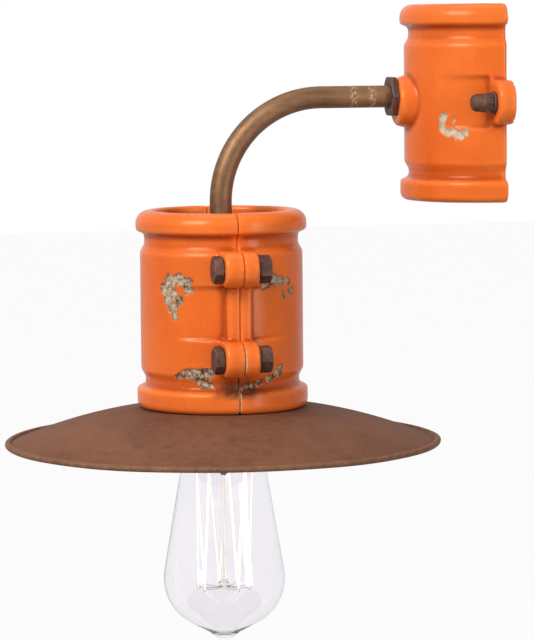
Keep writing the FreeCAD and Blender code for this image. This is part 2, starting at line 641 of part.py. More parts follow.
def rose_fasteners():
    """On each side a stud, a washer and a domed cap nut that hold the rose on its bracket."""
    for hand, sign in SIDES.items():
        stud = cylinder("bracket_stud_" + hand, "stud_radius",
                        "wall_ear_thickness + washer_thickness + cap_nut_hex + 2")
        node(put(stud, sign + "stud_reach", "-0.1", "feature_rise", TO_ROOM))
        ring = washer("stud_washer_" + hand, "washer_radius", "stud_radius + channel_play", "washer_thickness")
        node(put(ring, sign + "stud_reach", "-wall_ear_thickness", "feature_rise", TO_ROOM))
        name = "cap_nut_" + hand
        dome = turned(name + "_dome", [
            ("0", "0"), ("cap_nut_flats / 2 - 0.3", "0"), ("cap_nut_flats / 2 - 0.3", "cap_nut_height", "4"),
            ("0", "cap_nut_height")])
        bore = cylinder(name + "_bore", "stud_radius + fit_gap", "cap_nut_hex + 3")
        nut = cut(name, fused(name + "_blank", hexagon(name, "cap_nut_flats", "cap_nut_hex", "0.6"), dome), bore)
        node(put(nut, sign + "stud_reach", "-wall_ear_thickness - washer_thickness", "feature_rise", TO_ROOM))


def small_screw(name, length, head_radius="(screw_radius * 1.9)", head_height="2"):
    """A cheese-head screw along z, its head above z = 0 and a slot across it."""
    head = cylinder(name + "_head", head_radius, head_height)
    shank = put(cylinder(name + "_shank", "screw_radius", length), z="-" + length)
    drive = box(name + "_drive", "2 * %s + 2" % head_radius, "0.8", head_height)
    put(drive, "-%s - 1" % head_radius, "-0.4", "%s - 0.9" % head_height)
    return cut(name, fused(name + "_blank", head, shank), drive)


def terminal_block():
    """Three poles in one housing, with wire holes from below and above and screws to the room."""
    block_top = "(feature_rise - block_drop)"
    face = "(strip_thickness + block_depth)"
    housing = put(box("block_housing", "block_width", "block_depth", "block_height"),
                  "-block_width / 2", "-" + face, block_top + " - block_height")
    cuts = []
    screws = []
    for pole in (-1, 0, 1):
        column = "%d * %s" % (pole, POLE_PITCH)
        wire_hole = cylinder("block_wire_hole_%d" % (pole + 2), "wire_radius + fit_gap", "block_height")
        cuts.append(put(wire_hole, column, "-strip_thickness - block_depth / 2", block_top + " - block_height"))
        for end, level in (("upper", "block_height / 4"), ("lower", "block_height * 3 / 4")):
            name = "%s_pole_screw_%d" % (end, pole + 2)
            well = cylinder(name + "_well", "screw_radius + fit_gap", "block_depth / 2 - wire_radius")
            cuts.append(put(well, column, "%s - %s" % ("0", face), "%s - %s" % (block_top, level), TO_WALL))
            screw = cylinder(name, "screw_radius", "block_depth / 2 - wire_radius - 1.5")
            put(screw, column, "1 - " + face, "%s - %s" % (block_top, level), TO_WALL)
            screws.append(screw)
    middle = block_top + " - block_height / 2"
    fixing = cylinder("block_fixing_hole", "screw_radius + channel_play", "block_depth + 2")
    cuts.append(put(fixing, POLE_PITCH + " / 2", "-strip_thickness + 1", middle, TO_ROOM))
    node(cut("terminal_block", housing, *cuts))
    node(group("terminal_screws", *screws))
    screw = small_screw("block_screw", "(block_depth + strip_thickness - 0.2)", "(screw_radius * 1.5)")
    node(put(screw, POLE_PITCH + " / 2", "-" + face, middle, TO_ROOM))
    earth = small_screw("earth_screw", "(strip_thickness - 0.2)")
    node(put(earth, "slot_spacing / 4", "-strip_thickness", "feature_rise", TO_ROOM))


# The arm -------------------------------------------------------------------------------------

def arm_tube():
    """The bent pipe, with a tapped counterbore for a nipple at each end."""
    body = doc.addObject("PartDesign::Body", "arm_pipe")
    section = sketch_in(body, "XZ_Plane", "arm_section")
    for number, radius in enumerate(("tube_radius", "tube_bore")):
        ring = Part.Circle(FreeCAD.Vector(), FreeCAD.Vector(0, 0, 1), value(radius))
        edge = section.addGeometry(ring)
        section.addConstraint(Sketcher.Constraint("Coincident", edge, 3, -1, 1))
        rule = section.addConstraint(Sketcher.Constraint("Radius", edge, value(radius)))
        bind(section, "Constraints[%d]" % rule, radius)
    across = "-(lamp_reach - %s)" % TUBE_START
    down = "%s + %s - arm_rise" % (TUBE_END, SEAT)
    spine = sketch_in(body, "YZ_Plane", "arm_spine")
    outline(spine, [("0", "0"), (across, "0", "bend_radius"), (across, down)], closed=False)
    pipe = body.newObject("PartDesign::AdditivePipe", "arm_sweep")
    pipe.Profile = (section, [""])
    pipe.Spine = (spine, ["Edge1", "Edge2", "Edge3"])
    put(body, y="-" + TUBE_START, z="arm_rise")
    wall_tap = cylinder("wall_tap", "thread_radius + fit_gap", "thread_grip + 1")
    put(wall_tap, y="-" + TUBE_START, z="arm_rise", turn=TO_ROOM)
    lamp_tap = at_lamp(cylinder("lamp_tap", "thread_radius + fit_gap", "thread_grip + 1"), TUBE_END)
    return node(cut("arm_tube", body, wall_tap, lamp_tap))


def nipple(name, length):
    """A hollow threaded pipe, its ends bevelled."""
    return turned(name, [
        ("nipple_bore", "0"), ("thread_radius - 0.6", "0"), ("thread_radius", "0.6"),
        ("thread_radius", length + " - 0.6"), ("thread_radius - 0.6", length), ("nipple_bore", length)])


def thin_nut(name):
    bore = cylinder(name + "_bore", "thread_radius + fit_gap", "thin_nut_height")
    return cut(name, hexagon(name, "thin_nut_flats", "thin_nut_height", "0.7"), bore)


def arm_fittings():
    """What joins the arm to the rose at one end and to the hanger plate at the other."""
    tail = "(washer_thickness + thin_nut_height + 1)"
    wall_nipple = nipple("arm_wall_nipple", "(%s + thread_grip - pad_reach + %s)" % (TUBE_START, tail))
    node(put(wall_nipple, y="%s - pad_reach" % tail, z="arm_rise", turn=TO_ROOM))
    ring = washer("arm_inner_washer", "pad_radius - 1", "thread_radius + channel_play", "washer_thickness")
    node(put(ring, y="-pad_reach", z="arm_rise", turn=TO_WALL))
    node(put(thin_nut("arm_inner_nut"), y="washer_thickness - pad_reach", z="arm_rise", turn=TO_WALL))
    name = "arm_lock_nut"
    bore = cylinder(name + "_bore", "thread_radius + fit_gap", "lock_nut_height")
    recess = put(cylinder(name + "_recess", "tube_radius + 2 * fit_gap", "lock_nut_recess + 1"),
                 z="lock_nut_height - lock_nut_recess")
    nut = node(cut(name, hexagon(name, "lock_nut_flats", "lock_nut_height", "0.8"), bore, recess))
    put(nut, y="-boss_reach", z="arm_rise", turn=TO_ROOM)
    foot = "(%s - collar_height)" % PLATE
    node(at_lamp(nipple("arm_lamp_nipple", "(%s + thread_grip - %s)" % (TUBE_END, foot)), foot))
    plate = washer("hanger_plate", "plate_radius", "thread_radius + fit_gap", "plate_thickness")
    node(at_lamp(plate, PLATE))
    node(at_lamp(thin_nut("hanger_nut"), PLATE + " + plate_thickness"))


def wires():
    """Three wires from the terminal block through the arm to the holder's terminals."""
    length = {"reach": value("lamp_reach"), "seat": value(SEAT), "axis": value("arm_rise")}
    radius = value("wire_radius")
    bend = value("wire_bend")
    terminal = value("(terminal_inner + terminal_outer) / 2")
    ends = {"live_wire": (-terminal, 0), "neutral_wire": (terminal, 0), "earth_wire": (0, -terminal)}
    depth = value("strip_thickness + block_depth / 2")
    block_top = value("feature_rise - block_drop")
    mouth = value("pad_reach - washer_thickness - thin_nut_height - 1") - 3
    fork = value(PLATE + " - collar_height") - 5
    landing = value(WELL_FLOOR + " + terminal_height")
    for name, (angle, pole) in WIRES.items():
        across = value("wire_spread") * math.cos(math.radians(angle))
        outward = value("wire_spread") * math.sin(math.radians(angle))
        level = length["axis"] + outward
        lamp_y = -length["reach"] - outward
        column = pole * value(POLE_PITCH)
        end_x, end_y = ends[name]
        spots = [FreeCAD.Vector(*spot) for spot in (
            (column, -depth, block_top - 6),
            (column, -depth, level),
            (across, -mouth, level),
            (across, lamp_y, level),
            (across, lamp_y, length["seat"] + fork),
            (end_x, end_y - length["reach"], length["seat"] + landing + 7),
            (end_x, end_y - length["reach"], length["seat"] + landing - 3))]
        if pole == 0:
            del spots[2]
        radii = [bend] + [bend] * (pole != 0) + [value("bend_radius") + outward, 4, 4]
        node(plain_feature(name, piped(rounded_route(spots, radii), radius)))


# The lampholder and the shade ----------------------------------------------------------------

def lampholder():
    """Fired-clay body with a threaded skirt, a metal cap over its terminals and a threaded shell."""
    guide = "(contact_stem + fit_gap + guide_wall)"
    body = turned("holder_blank", [
        ("skirt_bore", "-skirt_drop"), ("skirt_radius", "-skirt_drop"), ("skirt_radius", "0"),
        ("holder_flange", "0"), ("holder_flange", "flange_height"), ("holder_radius", "flange_height"),
        ("holder_radius", "holder_height"), ("well_radius", "holder_height"), ("well_radius", WELL_FLOOR),
        (guide + " + 2 * fit_gap", WELL_FLOOR), (guide + " + 2 * fit_gap", "web_level"),
        ("socket_radius + sheet_metal + 2 * fit_gap", "web_level"),
        ("socket_radius + sheet_metal + 2 * fit_gap", "-socket_mouth"), ("skirt_bore", "-socket_mouth")])
    leg_hole = cylinder("holder_leg_hole", "screw_radius + fit_gap", "holder_web + 2")
    put(leg_hole, "(terminal_inner + socket_radius) / 2", "0", "web_level - 1")
    holder = node(cut("lampholder_body", body, leg_hole))
    at_lamp(holder, "0")
    lid = "(holder_height + 2 + cap_wall)"
    neck = "(holder_height + cap_height - collar_height)"
    cover = turned("lampholder_cap", [
        ("holder_radius + fit_gap", "holder_height - cap_skirt"),
        ("holder_radius + cap_wall", "holder_height - cap_skirt"),
        ("holder_radius + cap_wall", lid, "3"), ("collar_radius", neck, "2"), ("collar_radius", PLATE),
        ("thread_radius + fit_gap", PLATE), ("thread_radius + fit_gap", neck + " - cap_wall"),
        ("collar_radius", neck + " - 1.6 * cap_wall"), ("holder_radius + fit_gap", lid + " - 1.6 * cap_wall")])
    node(at_lamp(cover, "0"))
    shell = turned("lampholder_shell", [
        ("socket_radius", "-socket_mouth"), ("socket_radius + sheet_metal", "-socket_mouth"),
        ("socket_radius + sheet_metal", "web_level"), (guide + " + 1", "web_level"),
        (guide + " + 1", "web_level - sheet_metal"), ("socket_radius", "web_level - sheet_metal")])
    node(at_lamp(shell, "0"))


def terminal(name, turn_angle, *extra):
    """A brass terminal on the holder's web, drilled for its wire and for its clamping screw."""
    half = "(terminal_width / 2)"
    middle = "((terminal_inner + terminal_outer) / 2)"
    bar = put(box(name + "_bar", "terminal_outer - terminal_inner", "terminal_width", "terminal_height"),
              "terminal_inner", "-" + half, WELL_FLOOR)
    wire_hole = put(cylinder(name + "_wire_hole", "wire_radius + fit_gap", "terminal_height"),
                    middle, "0", WELL_FLOOR + " + 1.5")
    screw_hole = put(cylinder(name + "_screw_hole", "screw_radius + fit_gap", "terminal_outer"),
                     middle + " + wire_radius", "0", WELL_FLOOR + " + terminal_height / 2", TO_RIGHT)
    item = node(cut(name, fused(name + "_blank", bar, *extra) if extra else bar, wire_hole, screw_hole))
    return at_lamp(item, "0", turn=FreeCAD.Rotation(FreeCAD.Vector(0, 0, 1), turn_angle))


def holder_terminals():
    """The live terminal guides the centre contact, the neutral one stands on the shell."""
    guide = "(contact_stem + fit_gap + guide_wall)"
    roof = "(%s + contact_head + contact_length + 5)" % CONTACT_FACE
    tube = turned("live_guide", [
        ("0", roof), ("0", roof + " + 1"), (guide, roof + " + 1"),
        (guide, "%s + contact_head + contact_travel + 0.2" % CONTACT_FACE),
        ("contact_stem + fit_gap", "%s + contact_head + contact_travel + 0.2" % CONTACT_FACE),
        ("contact_stem + fit_gap", roof)])
    link = put(box("live_link", "terminal_inner - contact_stem", "terminal_width / 2", "1.4"),
               "contact_stem + fit_gap + 0.6", "-terminal_width / 4", WELL_FLOOR)
    terminal("live_terminal", 180, tube, link)
    leg = put(cylinder("neutral_leg", "screw_radius", "holder_web + 1"),
              "(terminal_inner + socket_radius) / 2", "0", "web_level")
    terminal("neutral_terminal", 0, leg)
    terminal("earth_terminal", 270)
    screws = []
    for number, angle in enumerate((0, 180, 270), 1):
        screw = small_screw("holder_screw_%d" % number,
                            "((terminal_outer - terminal_inner) / 2 - wire_radius - 0.3)",
                            "(screw_radius * 1.5)", "1.2")
        put(screw, "terminal_outer", "0", WELL_FLOOR + " + terminal_height / 2", TO_RIGHT)
        turned_screw = group("holder_screw_%d_in_place" % number, screw)
        turned_screw.Placement.Rotation = FreeCAD.Rotation(FreeCAD.Vector(0, 0, 1), angle)
        screws.append(turned_screw)
    node(at_lamp(group("holder_screws", *screws), "0"))


def centre_contact():
    """The sprung contact above the bulb's tip, and its spring inside the live terminal."""
    contact = turned("centre_contact", [
        ("0", "0"), ("contact_radius", "0", "0.5"), ("contact_radius", "contact_head"),
        ("contact_stem", "contact_head"), ("contact_stem", "contact_head + contact_length"),
        ("0", "contact_head + contact_length")])
    node(at_lamp(contact, CONTACT_FACE))
    foot = value("%s + contact_head + contact_length" % CONTACT_FACE)
    wire = value("spring_wire")
    room = value("5 - 2 * spring_wire") - 0.4
    helix = Part.makeHelix(room / 4, room, value("spring_radius"))
    helix.translate(FreeCAD.Vector(0, -value("lamp_reach"), foot + wire + 0.2 + value(SEAT)))
    node(plain_feature("contact_spring", piped(Part.Wire(helix.Edges), wire, True)))


def shade():
    """One spun sheet: a flat middle, a shallow dome and a rolled rim."""
    start = "(shade_radius - shade_bead)"
    inner_run = "((%s - shade_seat) * knee_share)" % start
    outer_run = "((%s - shade_seat) * (1 - knee_share))" % start
    fall = "(shade_drop * fall_share)"
    knee = "(shade_seat + %s)" % inner_run
    bend = "(atan((shade_drop - %s) / %s) - atan(%s / %s))" % (fall, outer_run, fall, inner_run)
    curve = "(curve_share * sqrt(%s^2 + %s^2) / tan(%s / 2))" % (inner_run, fall, bend)
    hole = "(skirt_radius + shade_play)"
    top = "(shade_bead / 2 - shade_drop)"
    bottom = "(-shade_bead / 2 - shade_drop)"
    sheet_edge = "(%s - 0.2)" % start
    item = turned("shade", [
        (hole, "0"), ("shade_seat", "0", "8"), (knee, "-" + fall, curve),
        (start, "-shade_drop"), (start, top, "0.9"), ("shade_radius", top, "1.5"), ("shade_radius", bottom, "1.5"),
        (sheet_edge, bottom, "0.3"), (sheet_edge, "-shade_drop - shade_sheet"),
        (knee, "-%s - shade_sheet" % fall, curve),
        ("shade_seat", "-shade_sheet", "8"), (hole, "-shade_sheet")])
    node(at_lamp(item, "0"))
    ring = turned("shade_ring", [
        ("skirt_radius + fit_gap", "-shade_sheet"), ("skirt_radius + fit_gap", "-shade_sheet - ring_height"),
        ("skirt_radius + 3", "-shade_sheet - ring_height", "1"),
        ("skirt_radius + 3", "-shade_sheet - 2", "1"), ("ring_radius", "-shade_sheet - 2", "0.8"),
        ("ring_radius", "-shade_sheet")])
    node(at_lamp(ring, "0"))


# The bulb ------------------------------------------------------------------------------------

def glass_side(inset):
    """The long taper and the belly of the glass, moved in by an expression."""
    half = "((cone_angle + 90 - base_angle) / 2 * 1 deg)"
    lean = "((90 - base_angle - cone_angle) / 2 * 1 deg)"
    curve = "(belly_round - %s)" % inset
    corner_x = "(bulb_radius - belly_round + %s / cos(%s) * cos(%s))" % (curve, half, lean)
    corner_z = "(bulb_belly - %s / cos(%s) * sin(%s))" % (curve, half, lean)
    shoulder_x = "(%s - (shoulder_level - %s) * tan(cone_angle * 1 deg))" % (corner_x, corner_z)
    return corner_x, corner_z, curve, shoulder_x


def bulb_glass():
    """A clear blown shell with a pip at the bottom and a neck inside the cap."""
    corner_x, corner_z, curve, shoulder_x = glass_side("0")
    inner_x, inner_z, inner_curve, inner_shoulder = glass_side("glass_wall")
    base = "tan(base_angle * 1 deg)"
    nub_top = "(%s - (%s - nub_radius) * %s)" % (corner_z, corner_x, base)
    floor_x = "(%s - (%s - nub_floor) / %s)" % (inner_x, inner_z, base)
    neck = "(cap_radius - thread_depth - sheet_metal - 0.2)"
    rim = CAP_RIM
    glass = turned("bulb_glass", [
        ("0", "0"), ("nub_radius * 0.5", "0", "2.8"), ("nub_radius", nub_top, "3"),
        (corner_x, corner_z, curve), (shoulder_x, "shoulder_level", "shoulder_round"),
        (neck, rim + " - 0.2", "1"), (neck, rim + " + 4"), (neck + " - glass_wall", rim + " + 4"),
        (neck + " - glass_wall", rim + " - 0.2 - glass_wall", "0.8"),
        (inner_shoulder, "shoulder_level - glass_wall", "shoulder_round - glass_wall"),
        (inner_x, inner_z, inner_curve), (floor_x, "nub_floor", "2"), ("0", "nub_floor")])
    return node(at_lamp(glass, "-bulb_drop"))


def bulb_cap():
    """The threaded metal cap, its thread drawn as rings, with the insulator and the tip."""
    root = "(cap_radius - thread_depth)"
    inside = "(cap_radius - thread_depth - sheet_metal)"
    corners = [(inside, CAP_RIM), ("cap_radius", CAP_RIM, "0.4"), ("cap_radius", CAP_RIM + " + 1.4", "0.5")]
    turns = int(value("(%s - %s - 4) / thread_pitch" % (CAP_TOP, CAP_RIM)))
    for turn in range(turns):
        low = "%s + 2.6 + %d * thread_pitch" % (CAP_RIM, turn)
        corners.append((root, low, "0.7"))
        corners.append(("cap_radius", low + " + thread_pitch / 2", "0.7"))
    corners.append((root, "%s + 2.6 + %d * thread_pitch" % (CAP_RIM, turns), "0.5"))
    corners += [(root + " - 2.4", CAP_TOP), (root + " - 3", CAP_TOP + " - sheet_metal"),
                (inside, CAP_TOP + " - 2.5")]
    node(at_lamp(turned("bulb_cap", corners), "-bulb_drop"))
    insulator = turned("bulb_insulator", [
        ("0.8", CAP_TOP + " - sheet_metal"), (root + " - 3.1", CAP_TOP + " - sheet_metal"),
        (root + " - 2.5", CAP_TOP), ("tip_radius + 0.6", CAP_TOP + " + vitrite_height"),
        ("0.8", CAP_TOP + " + vitrite_height")])
    node(at_lamp(insulator, "-bulb_drop"))
    tip = turned("bulb_tip_contact", [
        ("0", "bulb_length - tip_height"), ("tip_radius", "bulb_length - tip_height"),
        ("tip_radius", "bulb_length", "0.8"), ("0", "bulb_length")])
    node(at_lamp(tip, "-bulb_drop"))


def bulb_stem():
    """The glass mount: a flare in the neck, a thick stem and a thin rod with two buttons."""
    flare = "(cap_radius - thread_depth - sheet_metal - glass_wall - 0.5)"
    top = "(%s + 3)" % CAP_RIM
    stem = turned("bulb_stem", [
        ("0", "lower_hooks - 2"), ("2.4", "lower_hooks - 2", "1"), ("2.4", "lower_hooks + 2", "1"),
        ("rod_radius", "lower_hooks + 3.5"), ("rod_radius", "upper_hooks - 4", "1"),
        ("stem_radius", "upper_hooks - 2", "1"), ("stem_radius", top + " - 7", "3"),
        (flare, top + " - 1"), (flare, top), ("0", top)])
    node(at_lamp(stem, "-bulb_drop"))


def spoke(angle, level, inner, outer, radius):
    """A short wire that stands out from the bulb's axis."""
    heading = FreeCAD.Vector(math.cos(angle), math.sin(angle), 0)
    return Part.makeCylinder(radius, outer - inner, heading * inner + FreeCAD.Vector(0, 0, level), heading)


def cage_points():
    """The filament's bends, by turns at the upper and the lower hooks."""
    points = []
    for index in range(2 * HOOKS - 1):
        angle = math.radians(index * 360 / (2 * HOOKS))
        cage = value("lower_cage" if index % 2 else "upper_cage")
        level = value("lower_hooks" if index % 2 else "upper_hooks")
        points.append(FreeCAD.Vector(cage * math.cos(angle), cage * math.sin(angle), level))
    return points


def filament_cage():
    """One long filament up and down a cage of hooks, and the wires that feed it."""
    points = cage_points()
    wire = value("filament_radius")
    strands = [Part.makeSphere(wire, points[0])]
    for start, stop in zip(points, points[1:]):
        strands.append(Part.makeCylinder(wire, (stop - start).Length, start, stop - start))
        strands.append(Part.makeSphere(wire, stop))
    filament = strands[0].fuse(strands[1:])
    hook = value("hook_radius")
    hooks = []
    leads = []
    for index, point in enumerate(points):
        inner = (2.4 if index % 2 else value("stem_radius")) + 0.05
        outer = math.hypot(point.x, point.y) - wire - 0.05
        angle = math.atan2(point.y, point.x)
        ends = leads if index in (0, len(points) - 1) else hooks
        ends.append(spoke(angle, point.z, inner, outer, hook))
    top = value(CAP_RIM + " + 3") + 0.1
    inside = value("cap_radius - thread_depth - sheet_metal") - 0.05
    leads.append(Part.makeCylinder(hook, value("bulb_length - tip_height") - top, FreeCAD.Vector(0, 0, top)))
    leads.append(spoke(math.pi, value(CAP_RIM + " + 5"), 1, inside, hook))
    leads[-1] = leads[-1].fuse(Part.makeCylinder(hook, value(CAP_RIM + " + 5") - top, FreeCAD.Vector(-1, 0, top)))
    place = FreeCAD.Vector(0, -value("lamp_reach"), value(BULB_FOOT))
    for name, solids in (("bulb_filament", [filament]), ("bulb_hooks", hooks), ("bulb_leads", leads)):
        shape = Part.makeCompound([solid.translated(place) for solid in solids])
        node(plain_feature(name, shape))


# The whole lamp ------------------------------------------------------------------------------

wall_bracket()
rose_fasteners()
wall_rose()
terminal_block()
arm_tube()
arm_fittings()
wires()
clamp_half("clamp_front_half", "room")
clamp_half("clamp_rear_half", "wall")
clamp_fasteners()
lampholder()
holder_terminals()
centre_contact()
shade()
bulb_glass()
bulb_cap()
bulb_stem()
filament_cage()
doc.recompute()

faults = [item.Label for item in doc.Objects if {"Invalid", "Error"} & set(item.State)]
faults += [item.Label for item in nodes if item.Shape.isNull() or not item.Shape.isValid()]
if faults:
    raise SystemExit("These failed: " + ", ".join(faults))
os.makedirs("parts", exist_ok=True)
for item in nodes:
    item.Shape.exportStep("parts/%s.step" % item.Label)
    print(item.Label, len(item.Shape.Solids), "solids", round(item.Shape.Volume, 1), "mm3")
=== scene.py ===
import json
import math

import bpy
import numpy as np
from mathutils import Matrix, Vector, noise


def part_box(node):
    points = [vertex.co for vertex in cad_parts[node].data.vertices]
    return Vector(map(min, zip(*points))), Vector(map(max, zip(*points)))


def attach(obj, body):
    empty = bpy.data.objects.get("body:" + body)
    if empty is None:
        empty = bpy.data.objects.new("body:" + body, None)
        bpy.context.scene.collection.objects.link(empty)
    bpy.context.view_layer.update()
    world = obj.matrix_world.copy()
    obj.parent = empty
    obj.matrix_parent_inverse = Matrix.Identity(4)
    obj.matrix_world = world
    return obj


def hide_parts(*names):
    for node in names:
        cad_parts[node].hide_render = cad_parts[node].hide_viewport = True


# Looks of the industrial pipe wall light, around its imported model. Metres, +Z up, wall at y = 0.

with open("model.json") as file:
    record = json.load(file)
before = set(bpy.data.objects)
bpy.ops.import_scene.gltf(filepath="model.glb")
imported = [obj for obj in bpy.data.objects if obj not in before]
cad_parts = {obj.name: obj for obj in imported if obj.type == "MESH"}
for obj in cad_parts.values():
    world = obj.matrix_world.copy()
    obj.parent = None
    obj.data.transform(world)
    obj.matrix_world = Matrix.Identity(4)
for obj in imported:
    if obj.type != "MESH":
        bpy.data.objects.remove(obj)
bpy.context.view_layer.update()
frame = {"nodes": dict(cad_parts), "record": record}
nodes = frame["nodes"]

MM = 0.001
LAMP = "wall_light"
BULB = "bulb"
shade_low, shade_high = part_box("shade")
SEAT = shade_high.z                            # where the shade meets the clamp
LAMP_Y = (shade_low.y + shade_high.y) / 2      # the lamp's axis
BULB_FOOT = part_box("bulb_glass")[0].z          # the lowest point of the glass


# Meshes --------------------------------------------------------------------------------------

def of_points(mesh, key):
    """One row of three numbers for each point of a mesh."""
    flat = np.empty(len(mesh.vertices) * 3)
    mesh.vertices.foreach_get(key, flat)
    return flat.reshape(-1, 3)


def points_of(mesh):
    return of_points(mesh, "co")


def normals_of(mesh):
    return of_points(mesh, "normal")


def move_points(mesh, points):
    mesh.vertices.foreach_set("co", points.ravel())
    mesh.update()


def relax(mesh, rounds):
    """Ease every edge of a mesh: each point moves half way to the middle of its neighbours."""
    points = points_of(mesh)
    ends = np.empty(len(mesh.edges) * 2, np.int32)
    mesh.edges.foreach_get("vertices", ends)
    first, second = ends.reshape(-1, 2).T
    count = np.bincount(ends, minlength=len(points))
    for _ in range(rounds):
        for axis in range(3):
            column = points[:, axis]
            total = np.bincount(first, column[second], len(points))
            total += np.bincount(second, column[first], len(points))
            points[:, axis] = column + 0.5 * (total / count - column)
    move_points(mesh, points)


def smooth(mesh):
    mesh.polygons.foreach_set("use_smooth", np.ones(len(mesh.polygons), bool))


def new_object(name, mesh):
    obj = bpy.data.objects.new(name, mesh)
    bpy.context.scene.collection.objects.link(obj)
    smooth(mesh)
    return obj


def dress(obj, body, slot, material, *replaced):
    """Give a finished piece its material, its body and the CAD nodes that it stands for."""
    obj.data.materials.clear()
    obj.data.materials.append(material)
    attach(obj, body)
    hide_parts(*replaced)
    return obj


def recast(node, name, voxel, rounds):
    """An evenly meshed copy of a CAD node, with its sharp edges eased."""
    obj = new_object(name, nodes[node].data.copy())
    remesh = obj.modifiers.new("even", "REMESH")
    remesh.mode = "VOXEL"
    remesh.voxel_size = voxel
    graph = bpy.context.evaluated_depsgraph_get()
    mesh = bpy.data.meshes.new_from_object(obj.evaluated_get(graph))
    obj.modifiers.clear()
    obj.data = mesh
    smooth(mesh)
    relax(mesh, rounds)
    return obj


def noise_at(points, scale, seed=0.0):
    """Smooth noise from -1 to 1 at points in metres; scale is in cycles a metre."""
    shifted = points * scale + seed
    return np.array([noise.noise(Vector(point)) for point in shifted])


ARC_STEP = 9.0      # the widest angle between two points of a rounded corner, in degrees
ARC_LENGTH = 4      # and their widest distance, in millimetres


def rounded(corners):
    """Points along a line through corners (r, z) or (r, z, radius), in millimetres."""
    points = []
    for index, corner in enumerate(corners):
        here = np.array(corner[:2], float)
        if len(corner) < 3:
            points.append(here)
            continue
        before = np.array(corners[index - 1][:2], float) - here
        after = np.array(corners[(index + 1) % len(corners)][:2], float) - here
        before /= np.linalg.norm(before)
        after /= np.linalg.norm(after)
        half = math.acos(np.clip(before @ after, -1, 1)) / 2
        bisector = (before + after) / np.linalg.norm(before + after)
        middle = here + bisector * corner[2] / math.sin(half)
        start = here + before * corner[2] / math.tan(half) - middle
        sweep = math.pi - 2 * half
        turn = math.copysign(1, before[1] * after[0] - before[0] * after[1])
        pieces = max(3, math.ceil(math.degrees(sweep) / ARC_STEP), math.ceil(corner[2] * sweep / ARC_LENGTH))
        for part in range(pieces + 1):
            angle = turn * sweep * part / pieces
            cos, sin = math.cos(angle), math.sin(angle)
            turned = [start[0] * cos - start[1] * sin, start[0] * sin + start[1] * cos]
            points.append(middle + turned)
    return np.array(points)


def lathe(name, corners, foot, segments, closed=True, wave=None):
    """A turned piece about the lamp's axis; heights in millimetres above foot (metres)."""
    line = rounded(corners)
    rings = []
    points = []
    for radius, height in line:
        if radius < 1e-6:
            rings.append([len(points)] * segments)
            points.append((0, LAMP_Y, foot + height * MM))
            continue
        rings.append(list(range(len(points), len(points) + segments)))
        for part in range(segments):
            angle = 2 * math.pi * part / segments
            lift = wave(radius, angle) if wave else 0
            points.append((radius * MM * math.cos(angle), LAMP_Y + radius * MM * math.sin(angle),
                           foot + (height + lift) * MM))
    faces = []
    for lower, upper in zip(rings, rings[1:] + rings[:1] if closed else rings[1:]):
        for part in range(segments):
            following = (part + 1) % segments
            face = list(dict.fromkeys([lower[part], lower[following], upper[following], upper[part]]))
            if len(face) > 2:
                faces.append(face)
    mesh = bpy.data.meshes.new(name)
    mesh.from_pydata(points, [], faces)
    mesh.validate()
    outward(mesh)
    return new_object(name, mesh)


def outward(mesh):
    """Turn all faces of a closed mesh so that its normals point out."""
    points = points_of(mesh)
    volume = 0.0
    for polygon in mesh.polygons:
        ids = list(polygon.vertices)
        for a, b in zip(ids[1:], ids[2:]):
            volume += points[ids[0]] @ np.cross(points[a], points[b])
    if volume < 0:
        mesh.flip_normals()
    mesh.update()


ANY_WAY = [0.31, 0.52, 0.79]     # a direction that no wire starts along


def sweep(path, radius, sides):
    """Points and faces of a round wire along a path, its ends closed."""
    path = np.array(path, float)
    headings = np.gradient(path, axis=0)
    headings /= np.linalg.norm(headings, axis=1)[:, None]
    side = np.cross(headings[0], ANY_WAY)
    points = []
    for spot, heading in zip(path, headings):
        side = side - heading * (side @ heading)
        side /= np.linalg.norm(side)
        other = np.cross(heading, side)
        for part in range(sides):
            angle = 2 * math.pi * part / sides
            points.append(spot + radius * (side * math.cos(angle) + other * math.sin(angle)))
    faces = []
    for ring in range(len(path) - 1):
        for part in range(sides):
            following = (part + 1) % sides
            base = ring * sides
            faces.append([base + part, base + following,
                          base + sides + following, base + sides + part])
    faces.append(list(range(sides))[::-1])
    faces.append([(len(path) - 1) * sides + part for part in range(sides)])
    return points, faces


def wires(name, paths, radius, sides):
    """One object from several round wires."""
    points = []
    faces = []
    for path in paths:
        more_points, more_faces = sweep(path, radius, sides)
        faces += [[index + len(points) for index in face] for face in more_faces]
        points += more_points
    mesh = bpy.data.meshes.new(name)
    mesh.from_pydata([tuple(point) for point in points], [], faces)
    mesh.validate()
    outward(mesh)
    return new_object(name, mesh)


# Materials -----------------------------------------------------------------------------------

def add_node(tree, kind, inputs=None, **settings):
    """A new node; each input is given a constant, or a socket to be linked to."""
    node = tree.nodes.new(kind)
    for key, setting in settings.items():
        setattr(node, key, setting)
    for key, given in (inputs or {}).items():
        if isinstance(given, bpy.types.NodeSocket):
            tree.links.new(given, node.inputs[key])
        else:
            node.inputs[key].default_value = given
    return node


